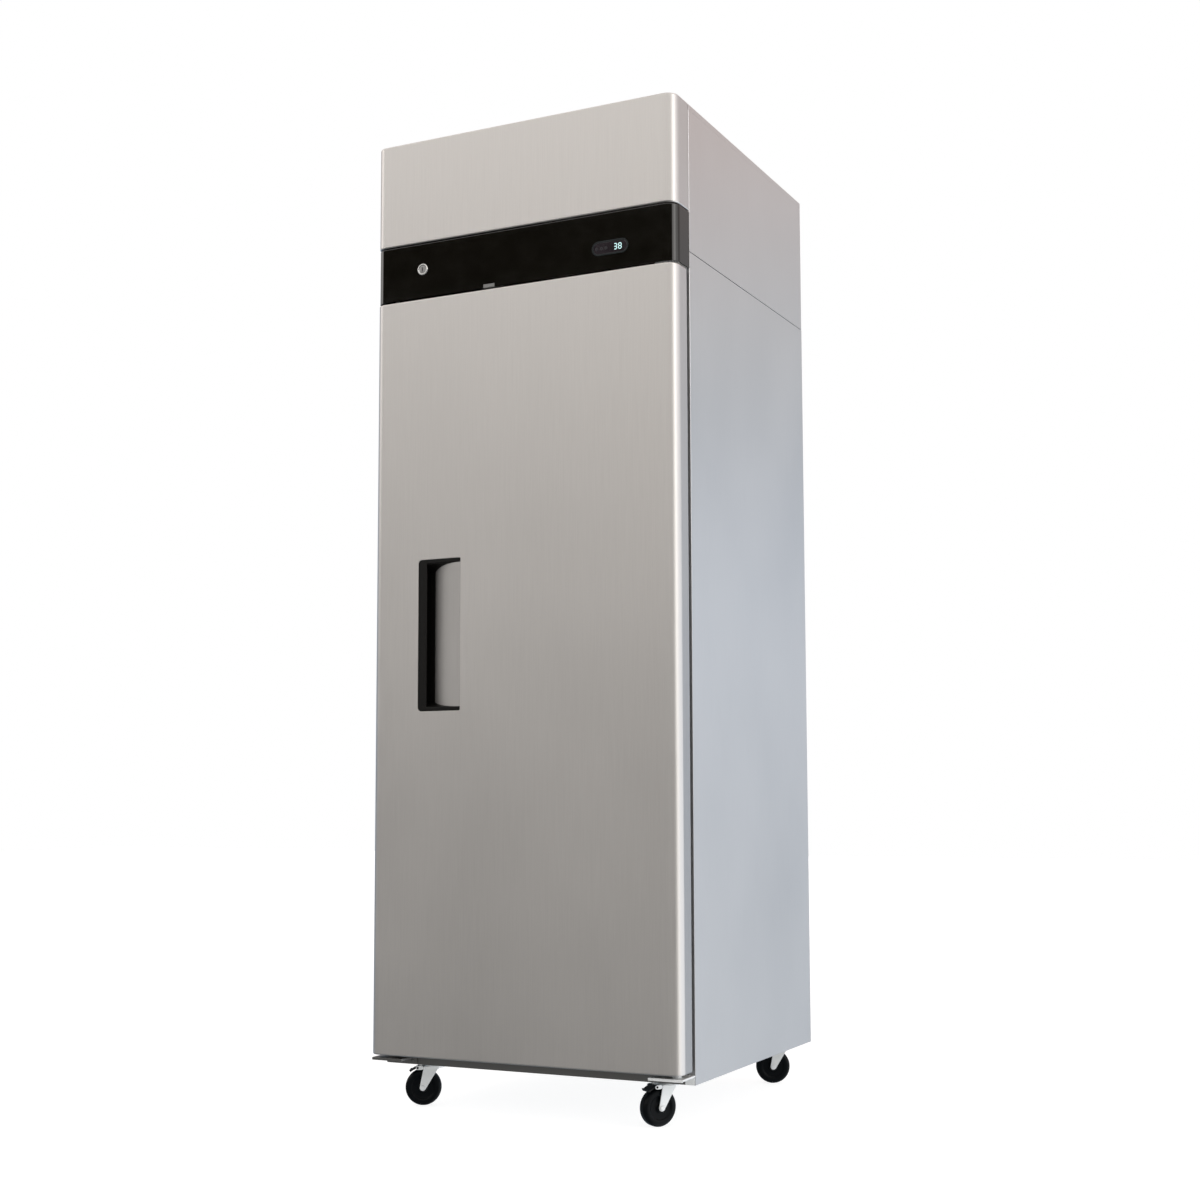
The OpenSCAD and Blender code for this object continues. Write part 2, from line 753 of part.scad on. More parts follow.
// Plate with a turned-down front lip, and either a pin with its washer or an empty pin hole
module bottom_hinge_plate(has_pin) {
    plate = 4;
    lip = 1.6;
    z = door_z0 - 11;
    x = [pivot_x - 51, x_half - 0.6];
    difference() {
        union() {
            block(x, [y_front + 12, face_y], [z, z + plate]);
            block(x, [y_front + 12, y_front + 14.5], [z - lip, z + eps]);
            block(x, [face_y - 3, face_y], [z_base + 1, z + eps]);
        }
        if (!has_pin)
            translate([pivot_x, pivot_y, z - 1]) cylinder(h = plate + 2, r = pin_r + 0.1, $fn = 48);
    }
    if (has_pin)
        translate([pivot_x, pivot_y, 0]) {
            translate([0, 0, z + 1]) cylinder(h = door_z0 + pin_reach - z - 1, r = pin_r, $fn = 48);
            translate([0, 0, z + plate - eps])
                cylinder(h = door_z0 - body_clear - z - plate, r = 9, $fn = 48);
        }
}

module bottom_hinge_brackets() {
    color("#c9c5bb") {
        bottom_hinge_plate(true);
        mirror([1, 0, 0]) bottom_hinge_plate(false);
    }
}

// ---- Door ----

module handle_outline() {
    end_corner = 3;
    hull()
        for (c = [[hx0, 1, handle_corner], [hx1, -1, end_corner]], z = [[hz0, 1], [hz1, -1]])
            translate([c[0] + c[1] * c[2], z[0] + z[1] * c[2]]) circle(r = c[2], $fn = 48);
}

module door_pin_holes() {
    translate([pivot_x, pivot_y, 0]) {
        translate([0, 0, door_z0 - 1]) cylinder(h = pin_reach + 3, r = pin_r + run_clear, $fn = 48);
        translate([0, 0, door_z1 - pin_reach - 2])
            cylinder(h = pin_reach + 3, r = pin_r + run_clear, $fn = 48);
    }
}

// Slot in the door's top that the lock's cam turns down into
module cam_slot() {
    block([-lock_x - 10, -lock_x + 50], [cam_y - 3, cam_y + cam_t + 3],
          [door_z1 - slot_depth, door_z1 + 1]);
}

module door_skin() {
    t = door_sheet_t;
    color(steel) difference() {
        union() {
            front_shell(y_front, door_back_y - sheet_t, t, [door_z0, door_z1]);
            for (z = [door_z0, door_z1 - t])
                translate([0, 0, z]) linear_extrude(t)
                    front_outline(x_half, y_front, door_back_y - sheet_t, corner_r);
        }
        facing(y_front - 1, y_front + t + 1) handle_outline();
        door_pin_holes();
        cam_slot();
    }
}

module door_foam() {
    t = door_sheet_t;
    color("#e6dcb0") difference() {
        translate([0, 0, door_z0 + t]) linear_extrude(door_z1 - door_z0 - 2 * t)
            front_outline(x_half - t, y_front + t, door_back_y - sheet_t, corner_r - t);
        block([hx0 - 2, hx1 + 2], [y_front - 1, scoop_y + 6], [hz0 - 2, hz1 + 2]);
        door_pin_holes();
        cam_slot();
    }
}

module door_liner() {
    pad_x = x_half - gasket_edge - gasket_w - 12;
    pad_z = [door_z0 + gasket_rise + gasket_w + 14, door_z1 - gasket_drop - gasket_w - 14];
    pad_t = 9;
    color("#cfd2d2") {
        difference() {
            block([-x_half, x_half], [door_back_y - sheet_t, door_back_y], [door_z0, door_z1]);
            block([-pad_x + 1, pad_x - 1], [door_back_y - 2, door_back_y + 1],
                  [pad_z[0] + 1, pad_z[1] - 1]);
        }
        difference() {
            block([-pad_x, pad_x], [door_back_y - eps, door_back_y + pad_t], pad_z);
            block([-pad_x + 1, pad_x - 1], [door_back_y - 1, door_back_y + pad_t - 1],
                  [pad_z[0] + 1, pad_z[1] - 1]);
        }
    }
}

module gasket_ring(grow, wide, y0, y1) {
    x = x_half - gasket_edge - grow;
    z0 = door_z0 + gasket_rise + grow;
    z1 = door_z1 - gasket_drop - grow;
    difference() {
        block([-x, x], [y0, y1], [z0, z1]);
        block([-x + wide, x - wide], [y0 - 1, y1 + 1], [z0 + wide, z1 - wide]);
    }
}

module door_gasket() {
    y1 = face_y - body_clear;
    color("#26282a") {
        gasket_ring(0, gasket_w, door_back_y, door_back_y + 4);
        gasket_ring(6, gasket_w - 12, door_back_y + 4 - eps, y1 - 5);
        gasket_ring(3, gasket_w - 6, y1 - 5 - eps, y1);
    }
}

// Points along the scoop, from the front edge of the handle down into the recess
scoop_a = [hx1, y_front + 0.6];
scoop_b = [scoop_x, scoop_y];
scoop_mid = (scoop_a + scoop_b) / 2;
scoop_half = norm(scoop_b - scoop_a) / 2;
scoop_dir = (scoop_b - scoop_a) / (2 * scoop_half);
scoop_c = scoop_mid + [scoop_dir[1], -scoop_dir[0]] * sqrt(scoop_r * scoop_r - scoop_half * scoop_half);
scoop_steps = 16;
function scoop_angle(p) = atan2(p[1] - scoop_c[1], p[0] - scoop_c[0]);
function scoop_arc(shrink) = [
    for (i = [0 : scoop_steps])
        let (a = scoop_angle(scoop_a) + i / scoop_steps * (scoop_angle(scoop_b) - scoop_angle(scoop_a)))
            scoop_c + (scoop_r - shrink) * [cos(a), sin(a)]];

function reversed(list) = [for (i = [len(list) - 1 : -1 : 0]) list[i]];

// Block between the two drafted ends of the recess, grown by a given amount at each end
module between_ends(grow) {
    rotate([90, 0, 90]) translate([0, 0, hx0]) linear_extrude(handle_w + 1)
        polygon([[y_front - 1, hz0 + handle_wall - grow],
                 [scoop_y, hz0 + handle_wall + bottom_draft - grow],
                 [scoop_y + 10, hz0 + handle_wall + bottom_draft - grow],
                 [scoop_y + 10, hz1 - handle_wall - top_draft + grow],
                 [scoop_y, hz1 - handle_wall - top_draft + grow],
                 [y_front - 1, hz1 - handle_wall + grow]]);
}

// Moulded frame: grip bar, recess behind it, and the two tapering end walls
module handle_frame() {
    lip_t = 4;
    lip_r = 3;
    wall = 3;
    back_y = scoop_y + wall;
    end_wall = concat([[hx0 + 1, y_front + lip_t - 1], [hx0 + 1, back_y], [scoop_x, back_y]],
                      reversed(scoop_arc(scoop_t)), [[hx1 - lip_r, y_front + 0.2]]);
    color(dark_plastic) {
        facing(y_front, y_front + lip_t) difference() {
            handle_outline();
            translate([hx0 + grip_w, hz0 + handle_wall])
                square([handle_w, handle_h - 2 * handle_wall]);
        }
        difference() {
            translate([0, 0, hz0 + 1]) linear_extrude(handle_h - 2) polygon(end_wall);
            between_ends(0);
        }
        block([hx0 + 1, hx0 + 1 + wall], [y_front + lip_t - eps, back_y], [hz0 + 1, hz1 - 1]);
        block([hx0 + 1, scoop_x], [scoop_y, back_y], [hz0 + 1, hz1 - 1]);
    }
}

module handle_scoop() {
    color("#9b9a96") intersection() {
        translate([0, 0, hz0 + handle_wall]) linear_extrude(handle_h - 2 * handle_wall)
            polygon(concat(scoop_arc(0), reversed(scoop_arc(scoop_t))));
        between_ends(-eps);
    }
}

// ---- Casters ----

module caster_plates() {
    plate_w = 56;
    color(zinc) for (c = caster_at)
        translate([c[0], c[1], 0]) {
            block([-plate_w / 2, plate_w / 2], [-plate_w / 2, plate_w / 2], [z_base - plate_t, z_base]);
            translate([0, 0, crown_z + crown_t + 3 + body_clear])
                cylinder(h = z_base - plate_t - crown_z - crown_t - 3 - body_clear + eps, r = 21, $fn = 64);
            translate([0, 0, crown_z - 2])
                cylinder(h = z_base - crown_z + 2 - plate_t, r = kingpin_r, $fn = 48);
            translate([0, 0, crown_z - 4]) cylinder(h = 4 - body_clear, r = kingpin_r + 2.5, $fn = 48);
        }
}

module leg_outline(has_lug) {
    foot_r = 6.5;
    polygon([[-9, crown_z + crown_t], [trail - 2, crown_z + crown_t],
             [trail + foot_r - 0.3, axle_z + 1.9], [trail - foot_r + 1, axle_z - 3.4]]);
    translate([trail, axle_z]) circle(r = foot_r, $fn = 48);
    if (has_lug) {
        translate([pedal_x, pedal_z]) circle(r = 4.5, $fn = 32);
        translate([trail - 8, pedal_z - 3]) square([pedal_x - trail + 8, 6]);
    }
}

module caster_fork(c, has_lug) {
    color(zinc) translate([c[0], c[1], 0]) rotate([0, 0, c[2]]) difference() {
        union() {
            for (side = [-1, 1])
                facing(side * (leg_y + leg_t / 2) - leg_t / 2, side * (leg_y + leg_t / 2) + leg_t / 2)
                    leg_outline(has_lug);
            block([-9, trail - 2], [-leg_y - eps, leg_y + eps], [crown_z, crown_z + crown_t]);
            translate([0, 0, crown_z]) cylinder(h = crown_t + 3, r = 21, $fn = 64);
            facing(-leg_y - leg_t - 1, leg_y + leg_t + 1) translate([trail, axle_z])
                circle(r = axle_r, $fn = 48);
            for (side = [-1, 1])
                facing(side * (leg_y + leg_t + 1.4) - 1.5, side * (leg_y + leg_t + 1.4) + 1.5)
                    translate([trail, axle_z]) circle(r = 5.5, $fn = 6);
        }
        translate([0, 0, crown_z - 1]) cylinder(h = crown_t + 5, r = kingpin_r + run_clear, $fn = 48);
        if (has_lug)
            facing(-leg_y - leg_t - 1, leg_y + leg_t + 1)
                translate([pedal_x, pedal_z]) circle(r = pedal_pin_r + run_clear, $fn = 32);
    }
}

module caster_fork_front_left() { caster_fork(caster_at[0], true); }

module caster_fork_front_right() { caster_fork(caster_at[1], true); }

module caster_fork_rear_left() { caster_fork(caster_at[2], false); }

module caster_fork_rear_right() { caster_fork(caster_at[3], false); }

// Solid wheel: hub, thinner web and a tread with rounded shoulders
module caster_wheel(c) {
    half = wheel_w / 2;
    shoulder = 8;
    rim_r = wheel_d / 2;
    color("#15181a") translate([c[0], c[1], 0]) rotate([0, 0, c[2]]) translate([trail, 0, axle_z])
        rotate([90, 0, 0]) rotate_extrude($fn = 96) {
            translate([axle_r + run_clear, -half - 2]) square([9, wheel_w + 4]);
            translate([10, -half + 2.5]) square([rim_r - 14, wheel_w - 5]);
            translate([rim_r - 13, -half]) square([13 - shoulder, wheel_w]);
            translate([rim_r - 13, -half + shoulder]) square([13, wheel_w - 2 * shoulder]);
            for (side = [-1, 1])
                translate([rim_r - shoulder, side * (half - shoulder)]) circle(r = shoulder, $fn = 48);
        }
}

module caster_wheel_front_left() { caster_wheel(caster_at[0]); }

module caster_wheel_front_right() { caster_wheel(caster_at[1]); }

module caster_wheel_rear_left() { caster_wheel(caster_at[2]); }

module caster_wheel_rear_right() { caster_wheel(caster_at[3]); }

// Sector of a ring round the axle, between two angles
module brake_sector(r0, r1, a0, a1) {
    steps = 12;
    angles = [for (i = [0 : steps]) a0 + (a1 - a0) * i / steps];
    polygon(concat([for (a = angles) r0 * [cos(a), sin(a)]],
                   [for (a = reversed(angles)) r1 * [cos(a), sin(a)]]));
}

// Curved shoe over the tread, with a toe tab at its end; it swings in on a pin through the fork
module brake_pedal(c) {
    wide = leg_y - 1;
    shoe_r = [axle_z + 3.5, axle_z + 6.5];
    end_angle = 50;
    toe = 4;
    color("#2a2c2d") translate([c[0], c[1], 0]) rotate([0, 0, c[2]]) {
        facing(-leg_y - leg_t - 0.5, leg_y + leg_t + 0.5)
            translate([pedal_x, pedal_z]) circle(r = pedal_pin_r, $fn = 32);
        facing(-wide, wide) {
            translate([pedal_x, pedal_z]) circle(r = 4, $fn = 32);
            translate([trail, axle_z]) {
                brake_sector(shoe_r[0], shoe_r[1], end_angle, 76);
                brake_sector(shoe_r[0], shoe_r[1] + toe / 2, end_angle, end_angle + toe);
            }
        }
    }
}

module brake_pedal_left() { brake_pedal(caster_at[0]); }

module brake_pedal_right() { brake_pedal(caster_at[1]); }

side_panel_left();
side_panel_right();
back_panel();
base_pan();
top_deck();
insulation();
inner_liner();
face_frame();
shelf_pilasters();
shelf_clips();
evaporator_cover();
evaporator_coil();
evaporator_fan_motor();
evaporator_fan_guard();
evaporator_fan_blade();
interior_lamp();
shelf_lower();
shelf_middle();
shelf_upper();
housing_sides();
housing_back();
compressor();
condenser_coil();
condenser_shroud();
condenser_fan_motor();
condenser_fan_blade();
refrigerant_lines();
electrical_box();
cord_gland();
front_cover();
control_strip();
controller_bezel();
display_window();
key_set();
key_up();
key_down();
lock_housing();
lock_cylinder();
lock_cam();
door_switch_body();
door_switch_plunger();
top_hinge_bracket();
bottom_hinge_brackets();
door_skin();
door_foam();
door_liner();
door_gasket();
handle_frame();
handle_scoop();
caster_plates();
caster_fork_front_left();
caster_fork_front_right();
caster_fork_rear_left();
caster_fork_rear_right();
caster_wheel_front_left();
caster_wheel_front_right();
caster_wheel_rear_left();
caster_wheel_rear_right();
brake_pedal_left();
brake_pedal_right();
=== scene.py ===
"""Visual model of a reach-in refrigerator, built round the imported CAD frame. Sizes are in millimetres."""
import json
import math

import bmesh
import bpy
from mathutils import Matrix, Vector


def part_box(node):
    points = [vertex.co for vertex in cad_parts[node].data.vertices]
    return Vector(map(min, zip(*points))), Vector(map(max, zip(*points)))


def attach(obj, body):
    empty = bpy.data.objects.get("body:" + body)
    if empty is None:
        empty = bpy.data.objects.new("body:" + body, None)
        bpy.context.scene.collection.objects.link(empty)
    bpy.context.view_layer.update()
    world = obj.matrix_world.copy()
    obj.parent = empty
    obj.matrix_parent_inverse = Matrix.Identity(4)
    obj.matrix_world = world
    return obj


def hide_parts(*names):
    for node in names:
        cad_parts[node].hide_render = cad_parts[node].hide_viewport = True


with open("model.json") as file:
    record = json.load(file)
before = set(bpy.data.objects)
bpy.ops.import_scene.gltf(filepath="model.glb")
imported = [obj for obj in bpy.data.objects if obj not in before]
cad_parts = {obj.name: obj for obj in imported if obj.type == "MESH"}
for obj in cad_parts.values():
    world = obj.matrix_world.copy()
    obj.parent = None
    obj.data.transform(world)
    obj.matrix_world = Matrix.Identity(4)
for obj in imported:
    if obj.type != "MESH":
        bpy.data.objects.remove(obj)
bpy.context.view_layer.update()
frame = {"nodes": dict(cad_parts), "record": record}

MM = 0.001
scene = bpy.context.scene
NODES = frame["nodes"]


def box_mm(node):
    """Ranges of a CAD node in X, Y and Z."""
    lo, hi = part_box(node)
    return [(lo[i] / MM, hi[i] / MM) for i in range(3)]


def middle(span):
    return (span[0] + span[1]) / 2


# ---- Camera, light and floor ----

CAMERA = {"place": (1.6849, -3.3574, 0.6416), "yaw": 25.96, "pitch": 5.15, "roll": -0.21, "lens": 51.46,
          "shift": (-0.0162, 0.0347)}      # metres, degrees, millimetres and shares of the picture's width
SENSOR_W = 36


def spun(a, b, degrees):
    """Two square axes, turned in their plane from a towards b."""
    turn = math.radians(degrees)
    return a * math.cos(turn) + b * math.sin(turn), b * math.cos(turn) - a * math.sin(turn)


def make_camera(place, yaw, pitch, roll, lens, shift):
    right, ahead = spun(Vector((1, 0, 0)), Vector((0, 1, 0)), yaw)
    ahead, up = spun(ahead, Vector((0, 0, 1)), pitch)
    right, up = spun(right, up, roll)
    data = bpy.data.cameras.new("camera")
    data.lens = lens
    data.sensor_width = SENSOR_W
    data.shift_x, data.shift_y = shift
    cam = bpy.data.objects.new("camera", data)
    scene.collection.objects.link(cam)
    turn = Matrix((right, up, -ahead)).transposed().to_4x4()
    cam.matrix_world = Matrix.Translation(place) @ turn
    scene.camera = cam


make_camera(**CAMERA)
scene.view_settings.view_transform = "Standard"


class Graph:
    """Short way to write shader nodes."""

    def __init__(self, tree):
        self.tree = tree
        tree.nodes.clear()

    def node(self, kind, props=None, **inputs):
        n = self.tree.nodes.new(kind)
        for key, value in (props or {}).items():
            setattr(n, key, value)
        for key, value in inputs.items():
            self.put(n, int(key[1:]) if key[0] == "_" and key[1:].isdigit() else key.replace("_", " "), value)
        return n

    def put(self, n, key, value):
        socket = n.inputs[key]
        if isinstance(value, bpy.types.NodeSocket):
            self.tree.links.new(value, socket)
        elif isinstance(value, bpy.types.Node):
            self.tree.links.new(value.outputs[0], socket)
        else:
            socket.default_value = value

    def math(self, op, a, b=0.0):
        n = self.tree.nodes.new("ShaderNodeMath")
        n.operation = op
        self.put(n, 0, a)
        self.put(n, 1, b)
        return n.outputs[0]

    def product(self, first, *others):
        for value in others:
            first = self.math("MULTIPLY", first, value)
        return first

    def span(self, value, lo, hi, out_lo=0.0, out_hi=1.0, smooth=False):
        """Maps lo to out_lo and hi to out_hi, and holds them outside."""
        n = self.tree.nodes.new("ShaderNodeMapRange")
        n.interpolation_type = "SMOOTHSTEP" if smooth else "LINEAR"
        for i, v in enumerate((value, lo, hi, out_lo, out_hi)):
            self.put(n, i, v)
        return n.outputs[0]

    def mix(self, factor, a, b, blend="MIX"):
        n = self.tree.nodes.new("ShaderNodeMix")
        n.data_type = "RGBA"
        n.blend_type = blend
        self.put(n, 0, factor)
        self.put(n, 6, a)
        self.put(n, 7, b)
        return n.outputs[2]

    def ramp(self, value, stops):
        n = self.tree.nodes.new("ShaderNodeValToRGB")
        self.put(n, 0, value)
        ramp = n.color_ramp
        while len(ramp.elements) < len(stops):
            ramp.elements.new(0.5)
        for element, (at, colour) in zip(ramp.elements, stops):
            element.position = at
            element.color = (*colour, 1)
        return n.outputs[0]


def make_world():
    """White studio for the camera, and a soft room for reflections.

    The room is dim below the horizon and bright above it in front. It has a broad light at the right, a
    narrow bright line that the rounded corners catch, and a dark slot in front, which the strip mirrors.
    """
    world = bpy.data.worlds.new("studio")
    world.use_nodes = True
    scene.world = world
    g = Graph(world.node_tree)
    direction = g.node("ShaderNodeTexCoord").outputs["Generated"]
    x, y, z = g.node("ShaderNodeSeparateXYZ", _0=direction).outputs
    height = g.span(z, -0.3, 0.7)
    front = g.ramp(height, [
        (0.0, (0.195, 0.2, 0.197)), (0.15, (0.21, 0.213, 0.21)), (0.24, (0.24, 0.24, 0.236)),
        (0.36, (0.29, 0.284, 0.279)), (0.45, (0.43, 0.414, 0.405)), (0.50, (0.86, 0.83, 0.80)),
        (0.56, (2.56, 2.49, 2.42)), (0.63, (2.70, 2.62, 2.55)), (0.71, (2.15, 2.08, 2.02)),
        (1.0, (1.0, 0.96, 0.92))])
    back = g.ramp(height, [
        (0.0, (0.23, 0.285, 0.345)), (0.3, (0.26, 0.315, 0.39)), (0.45, (0.42, 0.485, 0.575)),
        (0.57, (0.58, 0.60, 0.62)), (0.68, (0.74, 0.61, 0.57)), (1.0, (0.62, 0.52, 0.48))])
    room = g.mix(g.span(y, -0.25, 0.35, smooth=True), front, back)
    azimuth = g.math("ARCTAN2", x, g.math("MULTIPLY", y, -1.0))      # from the front, towards the right

    far_edge, width = g.span(z, 0.1, 0.36, 2.52, 1.85), g.span(z, 0.1, 0.36, 1.65, 0.9)
    past = g.math("SUBTRACT", azimuth, far_edge)
    rise = g.span(g.math("DIVIDE", past, width), -1.0, 0.0, smooth=True)
    fall = g.span(past, 0.2, 0.04, smooth=True)
    light = g.product(rise, fall, g.span(z, 0.05, 0.3, 2.8, 3.1), g.span(z, 0.5, 0.4, smooth=True))
    room = g.mix(light, room, (1.0, 0.99, 0.98, 1), "ADD")

    line_at, line_glow = 1.45, 15.0
    off_line = g.math("ABSOLUTE", g.math("SUBTRACT", azimuth, line_at))
    line = g.product(g.span(off_line, 0.13, 0.04, smooth=True),
                     g.span(z, 0.26, 0.3, 0.0, line_glow, smooth=True), g.span(z, 0.6, 0.4, smooth=True))
    room = g.mix(line, room, (1.0, 1.0, 0.98, 1), "ADD")

    slot_at, slot_dark = -0.1, 0.985
    off_slot = g.math("ABSOLUTE", g.math("SUBTRACT", azimuth, slot_at))
    slot = g.product(g.span(off_slot, 1.15, 1.0, smooth=True), g.span(z, 0.24, 0.268, smooth=True),
                     g.span(z, 0.378, 0.35, smooth=True), slot_dark)
    room = g.mix(slot, room, (0.0, 0.0, 0.0, 1))

    soft = g.node("ShaderNodeBackground", Color=room, Strength=1.0)
    white = g.node("ShaderNodeBackground", Color=(1, 1, 1, 1), Strength=1.0)
    seen = g.node("ShaderNodeLightPath").outputs["Is Camera Ray"]
    out = g.node("ShaderNodeMixShader", _0=seen, _1=soft, _2=white)
    g.node("ShaderNodeOutputWorld", Surface=out)


def make_floor():
    mesh = bpy.data.meshes.new("floor")
    far = 14.0
    mesh.from_pydata([(-far, -far, 0), (far, -far, 0), (far, far, 0), (-far, far, 0)], [], [(0, 1, 2, 3)])
    floor = bpy.data.objects.new("floor", mesh)
    scene.collection.objects.link(floor)
    mat = bpy.data.materials.new("floor")
    mat.use_nodes = True
    g = Graph(mat.node_tree)
    place = g.node("ShaderNodeTexCoord").outputs["Object"]
    grain = g.node("ShaderNodeTexNoise", Scale=3.0, Detail=3.0, Vector=place)
    tint = g.mix(grain.outputs[0], (0.26, 0.26, 0.26, 1), (0.3, 0.3, 0.3, 1))
    paint = g.node("ShaderNodeBsdfPrincipled", Base_Color=tint, Roughness=0.9)
    g.put(paint, "Emission Color", (1, 1, 1, 1))
    g.put(paint, "Emission Strength", 0.86)
    g.node("ShaderNodeOutputMaterial", Surface=paint)
    mesh.materials.append(mat)
    floor.visible_glossy = False


make_world()
make_floor()

# ---- Materials ----

def surface(name, colour, rough, metal=0.0, vary=0.08, grain=60, rough_vary=0.06, bump=0.0, bump_grain=None,
            cells=0.0, aniso=0.0, turned=0.0, spec=0.5, coat=0.0, dust=0.0, glow=None):
    """Principled material with procedural colour, roughness and relief, in object coordinates.

    grain and bump_grain are noise scales per metre, one for all axes or three. cells is the scale of a
    spangle or of dimples. turned is how far the brushing is turned, as a share of a full turn. glow is a
    colour and a strength.
    """
    mat = bpy.data.materials.new(name)
    mat.use_nodes = True
    g = Graph(mat.node_tree)
    place = g.node("ShaderNodeTexCoord").outputs["Object"]

    def noise(scale, detail=4.0):
        scale = scale if isinstance(scale, tuple) else (scale,) * 3
        spread = g.node("ShaderNodeMapping", Vector=place, Scale=scale)
        return g.node("ShaderNodeTexNoise", Vector=spread, Scale=1.0, Detail=detail, Roughness=0.6).outputs[0]

    fine = noise(grain)
    broad = noise((3.0, 3.0, 2.0), 2.0)
    pattern = g.math("ADD", g.product(fine, 0.6), g.product(broad, 0.4))
    if cells:
        cell = g.node("ShaderNodeTexVoronoi", Vector=place, Scale=cells)
        shade = g.node("ShaderNodeSeparateColor", _0=cell.outputs["Color"]).outputs[0]
        pattern = g.math("ADD", g.product(pattern, 0.4), g.product(shade, 0.6))
    dark = (*(max(c * (1 - vary), 0) for c in colour), 1)
    light = (*(min(c * (1 + vary), 1) for c in colour), 1)
    base = g.mix(g.span(pattern, 0.3, 0.7), dark, light)
    if dust:
        normal = g.node("ShaderNodeNewGeometry").outputs["Normal"]
        up = g.node("ShaderNodeSeparateXYZ", _0=normal).outputs[2]
        settled = g.product(g.span(up, 0.3, 1.0), g.product(noise(25), dust))
        base = g.mix(settled, base, (0.45, 0.43, 0.4, 1))
    shader = g.node("ShaderNodeBsdfPrincipled", Base_Color=base, Metallic=metal)
    g.put(shader, "Roughness", g.span(pattern, 0.25, 0.75, max(rough - rough_vary, 0.02), rough + rough_vary))
    g.put(shader, "Specular IOR Level", spec)
    if aniso:
        g.put(shader, "Anisotropic", aniso)
        g.put(shader, "Anisotropic Rotation", turned)
        g.put(shader, "Tangent", g.node("ShaderNodeTangent", {"direction_type": "RADIAL", "axis": "Z"}))
    if coat:
        g.put(shader, "Coat Weight", coat)
        g.put(shader, "Coat Roughness", 0.12)
    if bump:
        relief = noise(bump_grain or grain, 3.0)
        if cells:
            relief = g.math("ADD", g.product(relief, 0.3), cell.outputs["Distance"])
        g.put(shader, "Normal", g.node("ShaderNodeBump", Strength=bump, Distance=0.0004, Height=relief))
    if glow:
        g.put(shader, "Emission Color", (*glow[0], 1))
        g.put(shader, "Emission Strength", glow[1])
    g.node("ShaderNodeOutputMaterial", Surface=shader)
    return mat


def look(*values, **more):
    return values, more


BRUSH = (900, 900, 9)      # fine streaks that run up and down
